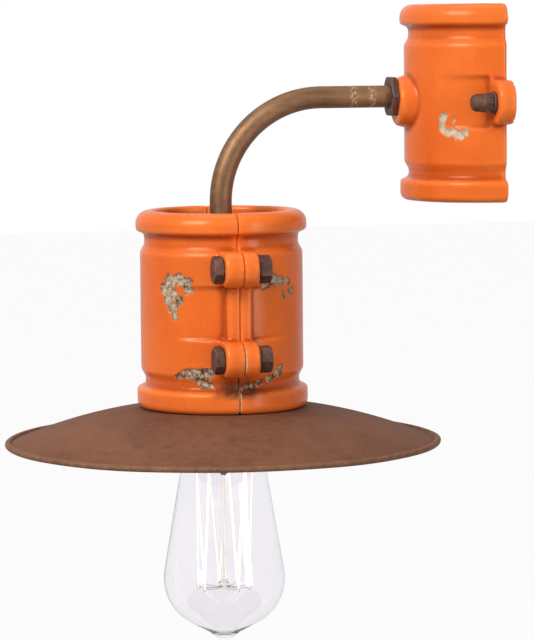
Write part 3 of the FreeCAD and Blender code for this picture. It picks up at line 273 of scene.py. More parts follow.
class Surface:
    """A material with its node tree, in object coordinates, which are the frame's metres."""

    def __init__(self, name, metallic=0.0, ior=1.5):
        self.material = bpy.data.materials.new(name)
        self.material.use_nodes = True
        self.tree = self.material.node_tree
        self.shader = self.tree.nodes["Principled BSDF"]
        self.shader.inputs["Metallic"].default_value = metallic
        self.shader.inputs["IOR"].default_value = ior
        self.place = self.node("ShaderNodeTexCoord").outputs["Object"]

    def node(self, kind, inputs=None, **settings):
        return add_node(self.tree, kind, inputs, **settings)

    def attribute(self, name):
        """A number kept with the mesh's points."""
        return self.node("ShaderNodeAttribute", attribute_name=name).outputs["Fac"]

    def noise(self, scale, detail=4.0, roughness=0.55, stretch=None, distortion=0.0):
        place = self.place
        if stretch:
            scaled = self.node("ShaderNodeMapping", {"Vector": place, "Scale": stretch})
            place = scaled.outputs["Vector"]
        return self.node("ShaderNodeTexNoise", {
            "Vector": place, "Scale": scale, "Detail": detail, "Roughness": roughness,
            "Distortion": distortion}).outputs["Fac"]

    def ramp(self, factor, *stops):
        node = self.node("ShaderNodeValToRGB", {"Fac": factor})
        ramp = node.color_ramp
        while len(ramp.elements) < len(stops):
            ramp.elements.new(0.5)
        for element, (position, colour) in zip(ramp.elements, stops):
            element.position = position
            element.color = (*colour, 1)
        return node.outputs["Color"]

    def mix(self, factor, first, second):
        """The first colour, or where factor is 1 the second. Colours are sockets or three numbers."""
        node = self.node("ShaderNodeMix", {0: factor}, data_type="RGBA")
        for index, given in ((6, first), (7, second)):
            if isinstance(given, bpy.types.NodeSocket):
                self.tree.links.new(given, node.inputs[index])
            else:
                node.inputs[index].default_value = (*given, 1)
        return node.outputs[2]

    def math(self, operation, *given):
        return self.node("ShaderNodeMath", dict(enumerate(given)), operation=operation).outputs[0]

    def spread(self, factor, low, high, to_low=0.0, to_high=1.0, smooth=False):
        kind = "SMOOTHSTEP" if smooth else "LINEAR"
        node = self.node("ShaderNodeMapRange", {
            0: factor, 1: low, 2: high, 3: to_low, 4: to_high}, interpolation_type=kind)
        return node.outputs[0]

    def bump(self, height, strength, depth, below=None):
        inputs = {"Height": height, "Strength": strength, "Distance": depth}
        if below:
            inputs["Normal"] = below
        return self.node("ShaderNodeBump", inputs).outputs["Normal"]

    def finish(self, colour, roughness, normal=None):
        self.tree.links.new(colour, self.shader.inputs["Base Color"])
        self.tree.links.new(roughness, self.shader.inputs["Roughness"])
        if normal:
            self.tree.links.new(normal, self.shader.inputs["Normal"])
        return self.material


def plain_surface(name, dark, light, scale, metallic=0.0, roughness=(0.35, 0.5)):
    """A surface whose colour, roughness and relief wander between two limits."""
    surface = Surface(name, metallic)
    tone = surface.noise(scale, 5, 0.6)
    fine = surface.noise(scale * 9, 3, 0.6)
    colour = surface.ramp(tone, (0.3, dark), (0.7, light))
    normal = surface.bump(fine, 0.15, 0.0002)
    return surface.finish(colour, surface.spread(fine, 0.3, 0.7, *roughness), normal)


ROSE_FADE = (-0.050, -0.035)      # the rose's chips are paler than the clamp's, which hangs below this


def glaze():
    """Orange glaze over fired clay, which shows where the glaze has chipped off."""
    surface = Surface("orange_glaze")
    surface.shader.inputs["Specular IOR Level"].default_value = 0.28
    surface.shader.inputs["Specular Tint"].default_value = (1.0, 0.80, 0.60, 1)
    tone = surface.noise(24, 3)
    streak = surface.noise(60, 4, 0.6, (1, 1, 0.35))
    colour = surface.ramp(tone, (0.34, (0.71, 0.124, 0.016)), (0.66, (0.81, 0.160, 0.023)))
    colour = surface.mix(surface.spread(streak, 0.45, 0.75, 0, 0.35), colour, (0.60, 0.090, 0.010))

    # painted shade: darker in the grooves, where shade falls; paler on the ridges, partly where the glaze
    # runs thin and partly a painted highlight
    hollow = surface.attribute("hollow")
    groove_shade = surface.spread(hollow, 0.04, 0.50, 0, 0.72, smooth=True)
    colour = surface.mix(groove_shade, colour, (0.34, 0.042, 0.005))
    ridge_thin_glaze_and_highlight = surface.spread(hollow, -0.10, -0.50, 0, 0.40, smooth=True)
    colour = surface.mix(ridge_thin_glaze_and_highlight, colour, (0.88, 0.215, 0.040))

    # bare clay in the chips, with a broken dark line along their edge
    chip = surface.attribute("chip")
    grain = surface.noise(1000, 4, 0.65)
    ragged = surface.math("ADD", chip, surface.spread(grain, 0.2, 0.8, -0.45, 0.45))
    bare = surface.spread(ragged, -0.08, 0.08, smooth=True)
    clay = surface.ramp(surface.noise(420, 9, 0.75),
                        (0.39, (0.022, 0.012, 0.009)), (0.45, (0.15, 0.085, 0.052)),
                        (0.51, (0.38, 0.265, 0.175)), (0.60, (0.66, 0.53, 0.39)))
    crust = surface.spread(surface.noise(140, 4, 0.6), 0.40, 0.60, 0.0, 0.55)
    clay = surface.mix(crust, clay, (0.60, 0.45, 0.31))
    rim = surface.math("MULTIPLY", surface.spread(ragged, 0.02, 0.30), surface.spread(ragged, 0.75, 0.35))
    edge = surface.math("MULTIPLY", rim, surface.spread(grain, 0.42, 0.58))
    clay = surface.mix(edge, clay, (0.085, 0.038, 0.022))
    height = surface.node("ShaderNodeSeparateXYZ", {0: surface.place}).outputs["Z"]
    clay = surface.mix(surface.spread(height, *ROSE_FADE, 0, 0.55), clay, (0.72, 0.58, 0.40))

    # painted shade under the ears with grime in the lower neck, then the clay over it, then the rubbed edges
    # of the split
    shade_and_grime = surface.attribute("shade_and_grime")
    patchy = surface.spread(surface.noise(260, 5, 0.65), 0.30, 0.62, 0.55, 1)
    shade_and_smear = surface.math("MULTIPLY", shade_and_grime, patchy)
    colour = surface.mix(surface.math("MULTIPLY", shade_and_smear, 0.95), colour, (0.062, 0.026, 0.014))
    colour = surface.mix(bare, colour, clay)
    seam = surface.attribute("seam")
    flaky = surface.math("ADD", seam, surface.spread(grain, 0.3, 0.7, -0.35, 0.35))
    rubbed = surface.spread(flaky, 0.35, 0.7)
    colour = surface.mix(surface.math("MULTIPLY", rubbed, 0.85), colour, (0.62, 0.47, 0.33))

    gloss = surface.spread(surface.noise(90, 3), 0.3, 0.7, 0.20, 0.30)
    roughness = surface.spread(bare, 0, 1, 0, 0.92)
    roughness = surface.math("MAXIMUM", gloss, roughness)
    soft = surface.bump(surface.noise(130, 2), 0.12, 0.0006)
    gritty = surface.math("MULTIPLY", bare, surface.noise(1300, 5, 0.7))
    return surface.finish(colour, roughness, surface.bump(gritty, 0.8, 0.0005, soft))


def iron():
    """Dark brown iron, lighter and redder in places."""
    surface = Surface("dark_iron", 0.30)
    surface.shader.inputs["Specular IOR Level"].default_value = 0.25
    tone = surface.noise(170, 6, 0.7)
    grain = surface.noise(1100, 5, 0.7)
    colour = surface.ramp(tone, (0.30, (0.030, 0.018, 0.016)), (0.50, (0.100, 0.048, 0.034)),
                          (0.72, (0.200, 0.090, 0.052)))
    colour = surface.mix(surface.spread(grain, 0.56, 0.72, 0, 0.65), colour, (0.23, 0.145, 0.11))
    colour = surface.mix(surface.spread(grain, 0.42, 0.32, 0, 0.7), colour, (0.022, 0.013, 0.011))
    worn = surface.attribute("hollow")
    edge = surface.math("MULTIPLY", surface.spread(worn, -0.05, -0.16, smooth=True),
                        surface.spread(grain, 0.35, 0.60, 0.25, 1))
    colour = surface.mix(surface.math("MULTIPLY", edge, 0.75), colour, (0.30, 0.20, 0.155))
    roughness = surface.spread(grain, 0.3, 0.7, 0.42, 0.68)
    return surface.finish(colour, roughness, surface.bump(grain, 0.55, 0.0003))


RUBBED_BANDS = (-0.0625, -0.0725)      # where the tube is rubbed bright, along the frame's Y
BAND_CORE = 0.0008
BAND_EDGE = 0.0026


def brass():
    """Browned brass with a soft shine along the tube and a few rubbed yellow specks."""
    surface = Surface("aged_brass", 0.72)
    tone = surface.noise(55, 5, 0.6)
    draw = surface.noise(420, 4, 0.6, (1, 0.12, 1))
    colour = surface.ramp(tone, (0.30, (0.130, 0.062, 0.028)), (0.52, (0.205, 0.102, 0.048)),
                          (0.76, (0.275, 0.142, 0.070)))
    colour = surface.mix(surface.spread(draw, 0.40, 0.75, 0, 0.35), colour, (0.36, 0.22, 0.12))
    along = surface.node("ShaderNodeSeparateXYZ", {0: surface.place}).outputs["Y"]
    rubbed = None
    for middle in RUBBED_BANDS:
        off = surface.math("ABSOLUTE", surface.math("ADD", along, -middle))
        band = surface.spread(off, BAND_CORE, BAND_EDGE, 1, 0, smooth=True)
        rubbed = surface.math("MAXIMUM", rubbed, band) if rubbed else band
    mask = surface.noise(760, 4, 0.6)
    speck = surface.math("MULTIPLY", rubbed, surface.spread(mask, 0.50, 0.60, smooth=True))
    speck = surface.math("MAXIMUM", speck, surface.spread(mask, 0.74, 0.80, smooth=True))
    colour = surface.mix(surface.math("MULTIPLY", speck, 0.8), colour, (0.56, 0.42, 0.20))
    roughness = surface.spread(draw, 0.3, 0.7, 0.44, 0.60)
    return surface.finish(colour, roughness, surface.bump(draw, 0.12, 0.0002))


WORN_RIM = (0.1085, 0.1118)     # the shade's wear grows between these distances from its axis


def rust():
    """Matt rust-brown sheet: cloudy, finely mottled, and lighter towards its worn rim."""
    surface = Surface("rusted_shade", 0.05)
    surface.shader.inputs["Specular IOR Level"].default_value = 0.30
    cloud = surface.noise(20, 6, 0.62, distortion=0.6)
    mottle = surface.noise(210, 6, 0.68)
    grain = surface.noise(1200, 4, 0.6)
    colour = surface.ramp(cloud, (0.30, (0.098, 0.035, 0.016)), (0.50, (0.145, 0.054, 0.025)),
                          (0.72, (0.190, 0.076, 0.037)))
    colour = surface.mix(surface.spread(mottle, 0.42, 0.72, 0, 0.55), colour, (0.23, 0.096, 0.048))
    colour = surface.mix(surface.spread(mottle, 0.44, 0.30, 0, 0.55), colour, (0.075, 0.030, 0.019))
    away = surface.node("ShaderNodeVectorMath", {0: surface.place, 1: (0, LAMP_Y, 0)}, operation="SUBTRACT")
    flat = surface.node("ShaderNodeVectorMath", {0: away.outputs[0], 1: (1, 1, 0)}, operation="MULTIPLY")
    length = surface.node("ShaderNodeVectorMath", {0: flat.outputs[0]}, operation="LENGTH")
    reach = length.outputs["Value"]
    rim = surface.math("MULTIPLY", surface.spread(reach, *WORN_RIM, smooth=True),
                       surface.spread(mottle, 0.35, 0.60, 0.35, 1))
    fleck = surface.spread(grain, 0.60, 0.70, 0.15, 1, smooth=True)
    colour = surface.mix(surface.math("MULTIPLY", rim, fleck), colour, (0.42, 0.25, 0.15))
    normal = surface.bump(mottle, 0.25, 0.0004, surface.bump(grain, 0.25, 0.0002))
    return surface.finish(colour, surface.spread(mottle, 0.3, 0.7, 0.62, 0.82), normal)


def clear_glass(name, dark, light, waves):
    """Clear glass, very slightly uneven."""
    surface = Surface(name, ior=1.46)
    surface.shader.inputs["Transmission Weight"].default_value = 1.0
    colour = surface.ramp(surface.noise(16, 2), (0.3, dark), (0.7, light))
    roughness = surface.spread(surface.noise(60, 2), 0.3, 0.7, 0.0, 0.01)
    return surface.finish(colour, roughness, surface.bump(surface.noise(14, 2), waves, 0.002))


def glowing_wire():
    """A wire that glows a warm white."""
    surface = Surface("filament")
    colour = surface.ramp(surface.noise(300, 2), (0.3, (1.0, 0.90, 0.76)), (0.7, (1.0, 0.95, 0.86)))
    surface.tree.links.new(colour, surface.shader.inputs["Emission Color"])
    surface.shader.inputs["Emission Strength"].default_value = 1.0
    return surface.finish(colour, surface.spread(surface.noise(500), 0, 1, 0.4, 0.6))


ORANGE = glaze()
IRON = iron()
BRASS = brass()
RUST = rust()
GLASS = clear_glass("clear_glass", (0.940, 0.922, 0.950), (0.965, 0.950, 0.972), 0.10)
GLOW = glowing_wire()
SURFACES = {
    "orange_glaze": ORANGE,
    "dark_iron": IRON,
    "aged_brass": BRASS,
    "rusted_shade": RUST,
    "clear_glass": GLASS,
    "filament": GLOW,
    # the stem's glass is tinted beige: a painted glow from the filament's light
    "stem_glass": clear_glass("stem_glass", (0.90, 0.84, 0.74), (0.96, 0.93, 0.88), 0.05),
}
# name, darker and lighter colour, cycles a metre, metallic, limits of the roughness
PLAIN = [
    ("zinc_steel", (0.36, 0.36, 0.37), (0.52, 0.52, 0.54), 120, 0.9, (0.42, 0.58)),
    ("fired_clay", (0.70, 0.67, 0.61), (0.82, 0.80, 0.75), 90, 0, (0.5, 0.7)),
    ("bright_brass", (0.55, 0.38, 0.15), (0.72, 0.53, 0.24), 110, 0.95, (0.2, 0.35)),
    ("terminal_housing", (0.70, 0.69, 0.65), (0.80, 0.79, 0.75), 140),
    ("live_sleeve", (0.12, 0.045, 0.018), (0.18, 0.070, 0.030), 160),
    ("neutral_sleeve", (0.02, 0.06, 0.26), (0.03, 0.10, 0.36), 160),
    ("earth_sleeve", (0.10, 0.30, 0.03), (0.72, 0.62, 0.06), 70),
    ("black_glass", (0.010, 0.010, 0.012), (0.03, 0.03, 0.035), 140, 0, (0.1, 0.2)),
    ("hook_wire", (0.13, 0.09, 0.08), (0.26, 0.19, 0.165), 400, 0.4),
]
for look in PLAIN:
    SURFACES[look[0]] = plain_surface(*look)
for row in frame["record"]["subparts"]:
    own = nodes[row["node"]]
    own.data.materials.clear()
    own.data.materials.append(SURFACES[row["material_slot"]])


# Glazed couplings ----------------------------------------------------------------------------

# Each chip is a row of round spots: angle about the coupling's axis in degrees, height and
# radius in millimetres. A negative radius leaves an island of glaze.
CHIP_LEFT = [
    (-49.8, -89.1, 3.6), (-42.1, -88.1, 3.2), (-36.8, -90.0, 3.0), (-54.1, -93.1, 3.2),
    (-35.7, -93.4, 2.0), (-48.6, -96.0, 3.0), (-52.8, -98.5, 2.8), (-42.3, -98.5, 2.2),
    (-48.1, -103.0, 3.0), (-46.9, -106.8, 2.0), (-55.5, -91.6, 2.4), (-40.8, -94.9, -1.7)]
CHIP_RIGHT = [
    (21.9, -90.2, 2.4), (27.2, -88.1, 2.8), (34.5, -89.2, 2.5), (42.0, -90.4, 2.0), (19.4, -91.7, 1.4),
    (44.8, -95.6, 1.7), (47.9, -94.6, 1.3), (37.5, -96.3, 1.3), (39.2, -99.1, 0.9), (32.9, -92.2, 1.1)]
CHIP_LOW_LEFT = [
    (-43.0, -137.6, 1.7), (-37.0, -136.2, 2.5), (-31.3, -136.1, 3.0), (-25.8, -136.4, 2.8),
    (-20.5, -136.7, 2.7), (-46.8, -138.5, 1.1), (-24.8, -142.2, 2.1), (-19.5, -142.5, 1.7),
    (-29.2, -141.1, 1.4), (-43.1, -142.6, 0.8), (-33.6, -138.8, 1.3)]
CHIP_LOW_RIGHT = [
    (32.2, -135.6, 2.2), (27.8, -138.1, 2.4), (33.6, -138.4, 1.4), (22.5, -139.7, 1.7), (16.3, -141.7, 1.4),
    (10.4, -142.7, 1.3), (5.9, -143.7, 1.1), (2.6, -144.0, 0.8), (25.1, -140.6, 1.3)]
CHIP_ROSE = [
    (-47.8, -7.1, 2.1), (-48.4, -10.3, 2.0), (-47.3, -13.4, 2.3), (-43.0, -15.1, 2.1),
    (-38.8, -14.7, 1.7), (-35.2, -15.8, 1.8), (-33.7, -17.5, 1.6), (-29.8, -14.7, 1.6),
    (-38.7, -9.2, 1.4), (-44.5, -5.4, 1.0), (-40.6, -10.9, -0.8)]


def turned_chip(chip, turn, mirror=False):
    """The same chip on the other side, turned a little further or mirrored."""
    return [((180 - angle if mirror else angle + 180) + turn, height, radius)
            for angle, height, radius in chip]


SEEN_CHIPS = [CHIP_LEFT, CHIP_RIGHT, CHIP_LOW_LEFT, CHIP_LOW_RIGHT]
CLAMP_CHIPS = SEEN_CHIPS + [turned_chip(chip, 6) for chip in SEEN_CHIPS]
ROSE_CHIPS = [CHIP_ROSE, turned_chip(CHIP_ROSE, -7, True)]


BLEND = 0.7                     # how softly the spots of a chip run together, in millimetres
OUTER_SKIN = 0.0385             # points nearer to a coupling's axis than this are inside its bore
ARC = math.radians(42)          # millimetres along the couplings' skin for each degree
CHIP_REACH = 16                 # no chip reaches further than this from its middle, in millimetres
UNCHIPPED = -3.0


def arc_from(angles, angle):
    """How far round the skin an angle lies from others, in millimetres."""
    return (np.mod(angles - angle + 180, 360) - 180) * ARC


def chip_field(points, axis_y, chips):
    """How far each point lies inside a chip, in millimetres, and below zero outside."""
    across = points[:, 0]
    along = points[:, 1] - axis_y
    angles = np.degrees(np.arctan2(along, across))
    heights = points[:, 2] / MM
    field = np.full(len(points), UNCHIPPED)
    outside = np.hypot(across, along) > OUTER_SKIN
    for chip in chips:
        spots = np.array(chip)
        aside = np.abs(arc_from(angles, spots[:, 0].mean()))
        near = outside & (aside < CHIP_REACH) & (np.abs(heights - spots[:, 1].mean()) < CHIP_REACH)
        here = points[near]
        sideways = angles[near] + (1.5 * noise_at(here, 210, 9) + 0.8 * noise_at(here, 620, 13)) / ARC
        upwards = heights[near] + 1.1 * noise_at(here, 210, 17) + 0.6 * noise_at(here, 620, 21)
        total = np.zeros(len(here))
        island = np.full(len(here), -UNCHIPPED)
        for angle, height, radius in chip:
            distance = np.hypot(arc_from(sideways, angle), upwards - height)
            if radius > 0:
                total += np.exp((radius - distance) / BLEND)
            else:
                island = np.minimum(island, distance + radius)
        inside = np.minimum(BLEND * np.log(total + 1e-9), island) + 0.35 * noise_at(here, 1100, 5)
        field[near] = np.maximum(field[near], inside)
    return field


# Levels above the clamp's foot and distances from its split, in millimetres.
WEAR_TOP = 70           # the split's edges are rubbed from this level down
WEAR_FADE = 45
WEAR_WIDTH = 1.6
SHADE_AND_GRIME_LEVEL = 13.5      # the middle of the lower neck, where grime and painted shade gather
SHADE_AND_GRIME_LEVELS = (7, 23)
SHADE_AND_GRIME_WIDTH = 22


def seam_marks(points):
    """Along the clamp's split: how far the glaze is rubbed off, and the grime with painted shade under the
    ears in the lower neck.
    """
    gap = np.abs(points[:, 1] - LAMP_Y) / MM
    level = (points[:, 2] - SEAT) / MM
    outside = np.hypot(points[:, 0], points[:, 1] - LAMP_Y) > OUTER_SKIN
    wear = np.full(len(points), UNCHIPPED)
    near = outside & (gap < WEAR_WIDTH)
    lower = np.clip((WEAR_TOP - level[near]) / WEAR_FADE, 0, 1)
    wear[near] = 1.2 * lower - 1.1 * gap[near] + 0.7 * noise_at(points[near], 130, 3) - 0.25
    shade_and_grime = np.zeros(len(points))
    near = outside & (gap < SHADE_AND_GRIME_WIDTH) & (level > SHADE_AND_GRIME_LEVELS[0]) & (level < SHADE_AND_GRIME_LEVELS[1])
    across = np.clip(1.5 - gap[near] * 2 / SHADE_AND_GRIME_WIDTH, 0, 1)
    upward = np.clip(1.8 - np.abs(level[near] - SHADE_AND_GRIME_LEVEL) / 3.2, 0, 1)
    fade = across * upward
    shade_and_grime[near] = np.clip(fade + 0.45 * noise_at(points[near], 190, 7) * (fade > 0.1), 0, 1)
    return wear, shade_and_grime


def keep(mesh, name, values):
    """Keep a number for each point of a mesh, for its material to read."""
    mesh.attributes.new(name, "FLOAT", "POINT").data.foreach_set("value", values.astype(np.float32))


def mark_hollows(obj, rounds):
    """Keep how far each point lies below (or above) its smoothed surroundings, in millimetres."""
    smoothed = obj.data.copy()
    relax(smoothed, rounds)
    away = points_of(smoothed) - points_of(obj.data)
    hollow = np.einsum("ij,ij->i", away, normals_of(obj.data)) / MM
    bpy.data.meshes.remove(smoothed)
    keep(obj.data, "hollow", hollow)


GLAZE_VOXEL = 0.0007
GLAZE_EASED = 5         # rounds of easing, which give the glaze its soft edges
GLAZE_HOLLOWS = 45      # rounds that tell grooves from ridges
CHIP_EDGE = 0.5         # a chip's edge slopes over this width, in millimetres
CHIP_DEPTH = 1.05       # and goes this deep, in millimetres
UNEVEN = 0.10           # the glaze's own unevenness, in millimetres
SEAM_CLOSED = 0.13      # how far each split face is moved at the top, in millimetres
SEAM_FACE = 0.35        # points this near to the split belong to its faces, in millimetres
CLOSED_FROM = 20        # level above the clamp's foot where the split begins to close
CLOSED_OVER = 30
LEAST_CLOSED = 0.15


def glazed(node, name, axis_y, chips, split):
    """A coupling piece with soft edges, slight unevenness and chips through the glaze."""
    obj = recast(node, name, GLAZE_VOXEL, GLAZE_EASED)
    mark_hollows(obj, GLAZE_HOLLOWS)
    mesh = obj.data
    points = points_of(mesh)
    normals = normals_of(mesh)
    field = chip_field(points, axis_y, chips)
    deep = np.clip(field / CHIP_EDGE, 0, 1)
    chipped = deep > 0
    depth = UNEVEN * (1 + noise_at(points, 45))
    if split:
        off = points[:, 1] - axis_y
        depth *= np.clip(np.abs(off) / (1.5 * MM), 0, 1)
        level = (points[:, 2] - SEAT) / MM
        closing = SEAM_CLOSED * MM * np.clip((level - CLOSED_FROM) / CLOSED_OVER, LEAST_CLOSED, 1)
        face = np.abs(off) < SEAM_FACE * MM
        points[face, 1] -= np.sign(off[face]) * closing[face]
    rough = 1 + 0.45 * noise_at(points[chipped], 800, 2)
    depth[chipped] += CHIP_DEPTH * deep[chipped] * rough
    move_points(mesh, points - normals * depth[:, None] * MM)
    keep(mesh, "chip", field)
    if split:
        wear, shade_and_grime = seam_marks(points)
        keep(mesh, "seam", wear)
        keep(mesh, "shade_and_grime", shade_and_grime)
    return dress(obj, LAMP, "orange_glaze", ORANGE, node)


glazed("wall_rose", "rose_glazed", 0.0, ROSE_CHIPS, False)
glazed("clamp_front_half", "clamp_front_glazed", LAMP_Y, CLAMP_CHIPS, True)
glazed("clamp_rear_half", "clamp_rear_glazed", LAMP_Y, CLAMP_CHIPS, True)


# Iron fasteners ------------------------------------------------------------------------------

IRON_VOXEL = 0.0003
IRON_HOLLOWS = 8


def forged(node, dent, voxel=IRON_VOXEL, rounds=2):
    """A forged copy of a fastener: edges eased and faces uneven by dent, in millimetres."""
    obj = recast(node, node + "_forged", voxel, rounds)
    mark_hollows(obj, IRON_HOLLOWS)
    points = points_of(obj.data)
    inward = dent * (1 + noise_at(points, 260, len(node)))
    move_points(obj.data, points - normals_of(obj.data) * inward[:, None] * MM)
    return dress(obj, LAMP, "dark_iron", IRON, node)


for number in (1, 2, 3, 4):
    forged("clamp_bolt_%d" % number, 0.05)
    forged("clamp_nut_%d" % number, 0.05)
for side in ("left", "right"):
    forged("cap_nut_" + side, 0.04)
    forged("stud_washer_" + side, 0.03)
forged("arm_lock_nut", 0.08, 0.0004, 3)


# Shade ---------------------------------------------------------------------------------------

WAVE_START = 50     # millimetres from the shade's axis
WAVE_WIDTH = 65


def spun_wave(radius, angle):
    """Small unevenness of hand-spun sheet, in millimetres, growing towards the rim."""
    share = max(0.0, (radius - WAVE_START) / WAVE_WIDTH)
    return share * (0.16 * math.sin(2 * angle + 0.7) + 0.10 * math.sin(5 * angle + 2.1)
                    + 0.05 * math.sin(11 * angle))


# Radius and height of each corner, and the corner's rounding: the upper face out to the rim, the
# rolled rim, and the lower face back.
SHADE_LINE = [
    (20.4, 0), (44, 0, 8), (77.5, -5.1, 260), (110.9, -18.24, 0.5),
    (111.5, -17.0, 0.4), (112.0, -16.85, 0.5), (114.3, -16.9, 1.3), (114.4, -19.8, 1.5),
    (111.2, -19.85, 0.9), (111.1, -19.3), (77.5, -6.1, 260), (44, -1, 8), (20.4, -1)]
SHADE_SEGMENTS = 288
shade = lathe("shade_spun", SHADE_LINE, SEAT, SHADE_SEGMENTS, wave=spun_wave)
dress(shade, LAMP, "rusted_shade", RUST, "shade")


# Bulb ----------------------------------------------------------------------------------------

# The blown glass, in millimetres above its tip: the cone, the belly and the slope down to the pip.
GLASS_RADIUS = 32.0
BELLY_LEVEL = 31.9
BELLY_ROUND = 26.0
CONE_ANGLE = 9.6
BASE_ANGLE = 29.0
NUB_RADIUS = 8.3
GLASS_WALL = 0.7
SHOULDER_LEVEL = 108.5
NECK_RADIUS = 11.4
NECK_FOOT = 114.6
NECK_TOP = 118.8
NUB_FLOOR = 3.2
NUB_ROUND = 2.8
SHOULDER_ROUND = 8
GLASS_SEGMENTS = 192


def glass_side(inset):
    """Where the taper and the lower slope would meet, the curve between them, and the shoulder's radius."""
    half = math.radians((CONE_ANGLE + 90 - BASE_ANGLE) / 2)
    lean = math.radians((90 - BASE_ANGLE - CONE_ANGLE) / 2)
    curve = BELLY_ROUND - inset
    corner_r = GLASS_RADIUS - BELLY_ROUND + curve / math.cos(half) * math.cos(lean)
    corner_z = BELLY_LEVEL - curve / math.cos(half) * math.sin(lean)
    shoulder_r = corner_r - (SHOULDER_LEVEL - inset - corner_z) * math.tan(math.radians(CONE_ANGLE))
    return corner_r, corner_z, curve, shoulder_r


base_slope = math.tan(math.radians(BASE_ANGLE))
outer_r, outer_z, outer_curve, outer_shoulder = glass_side(0)
inner_r, inner_z, inner_curve, inner_shoulder = glass_side(GLASS_WALL)
GLASS_LINE = [
    (0, 0), (NUB_RADIUS / 2, 0, NUB_ROUND), (NUB_RADIUS, outer_z - (outer_r - NUB_RADIUS) * base_slope, 3),
    (outer_r, outer_z, outer_curve), (outer_shoulder, SHOULDER_LEVEL, SHOULDER_ROUND),
    (NECK_RADIUS, NECK_FOOT, 1),
    (NECK_RADIUS, NECK_TOP), (NECK_RADIUS - GLASS_WALL, NECK_TOP),
    (NECK_RADIUS - GLASS_WALL, NECK_FOOT - GLASS_WALL, 0.8),
    (inner_shoulder, SHOULDER_LEVEL - GLASS_WALL, SHOULDER_ROUND - GLASS_WALL),
    (inner_r, inner_z, inner_curve),
    (inner_r - (inner_z - NUB_FLOOR) / base_slope, NUB_FLOOR, 2), (0, NUB_FLOOR)]
glass = lathe("bulb_glass_blown", GLASS_LINE, BULB_FOOT, GLASS_SEGMENTS, closed=False)
dress(glass, BULB, "clear_glass", GLASS, "bulb_glass")

HOOKS = 9                 # at the top, and as many at the foot
UPPER = (15.0, 91.0)      # their distance from the axis and height above the glass's tip, in millimetres
LOWER = (13.8, 27.3)
STRAND = 0.00026


def strand_corners():
    """Where the filament turns: up and down between the hooks, on the way round."""
    path = []
    for index in range(2 * HOOKS - 1):
        angle = math.radians(index * 360 / (2 * HOOKS))
        radius, height = LOWER if index % 2 else UPPER
        path.append(Vector((radius * MM * math.cos(angle), LAMP_Y + radius * MM * math.sin(angle),
                            BULB_FOOT + height * MM)))
    return path


corners = strand_corners()
strands = []
for start, stop in zip(corners, corners[1:]):
    strands.append([start.lerp(stop, share) for share in np.linspace(0, 1, 14)])
dress(wires("bulb_filament_strands", strands, STRAND, 8), BULB, "filament", GLOW, "bulb_filament")

# Thin hooks: a wire out from the stem that ends in a small loop around its strand.
HOOK_WIRE = 0.00013
LOOP = 0.0009
STEM_LOW = 0.0015       # the stem's radius at the lower and at the upper hooks
STEM_HIGH = 0.0040
HOOK_SAG = 0.0006
hooks = []
for index, corner in enumerate(corners[1:-1], 1):
    axis = Vector((0, LAMP_Y, corner.z))
    outward_way = (corner - axis).normalized()
    foot = axis + outward_way * (STEM_LOW if index % 2 else STEM_HIGH)
    lean = Vector((0, 0, -1 if index % 2 else 1))
    neck = corner - outward_way * LOOP
    line = []
    for share in np.linspace(0, 1, 7):
        line.append(foot.lerp(neck, share) + lean * HOOK_SAG * math.sin(math.pi * share))
    for turn_share in np.linspace(0.15, 0.9, 9):
        angle = math.pi * (1 + 2 * turn_share)
        line.append(corner + outward_way * LOOP * math.cos(angle) + lean * LOOP * math.sin(angle))
    hooks.append(line)
dress(wires("bulb_hook_wires", hooks, HOOK_WIRE, 6), BULB, "hook_wire",
      SURFACES["hook_wire"], "bulb_hooks")


# Camera, light and surroundings --------------------------------------------------------------

# The camera, fitted to the photograph's view of 534 x 640 pixels.
AZIMUTH, ELEVATION, ROLL = (math.radians(angle) for angle in (77.45, 5.24, 0.5))
DISTANCE = 1.688
AIM = Vector((0, -0.119, -0.113))
FOCAL_PIXELS = 3212
LONG_SIDE = 640
SENSOR = 36

back = Vector((math.sin(AZIMUTH) * math.cos(ELEVATION), -math.cos(AZIMUTH) * math.cos(ELEVATION),
               math.sin(ELEVATION)))
right = (-back).cross(Vector((0, 0, 1))).normalized()
up = right.cross(-back)
tilted_right = right * math.cos(ROLL) - up * math.sin(ROLL)
tilted_up = right * math.sin(ROLL) + up * math.cos(ROLL)
camera_data = bpy.data.cameras.new("camera")
camera_data.sensor_width = SENSOR
camera_data.lens = FOCAL_PIXELS * SENSOR / LONG_SIDE
camera_data.clip_start = 0.05
camera = bpy.data.objects.new("camera", camera_data)
turn = Matrix((tilted_right, tilted_up, back)).transposed().to_4x4()
camera.matrix_world = Matrix.Translation(AIM + back * DISTANCE) @ turn
bpy.context.scene.collection.objects.link(camera)
bpy.context.scene.camera = camera


def lamp(name, sideways, upward, forward, size, power):
    """A soft square lamp, placed from the camera's side and aimed at the object."""
    data = bpy.data.lights.new(name, "AREA")
    data.shape = "RECTANGLE"
    data.size, data.size_y = size
    data.energy = power
    obj = bpy.data.objects.new(name, data)
    place = AIM + right * sideways + up * upward + back * forward
    obj.location = place
    obj.rotation_euler = (AIM - place).to_track_quat("-Z", "Y").to_euler()
    bpy.context.scene.collection.objects.link(obj)


# name, metres to the right of, above and in front of the object, size and power
for setting in [("key", -0.85, 0.85, 1.15, (0.8, 0.8), 28),
                ("fill", 1.20, 0.05, 1.10, (0.4, 1.2), 10),
                ("top", -0.1, 1.5, 0.0, (0.9, 0.9), 4)]:
    lamp(*setting)

GLOSSY_SHARE = 0.6      # how much of the white background shows in gloss and metal


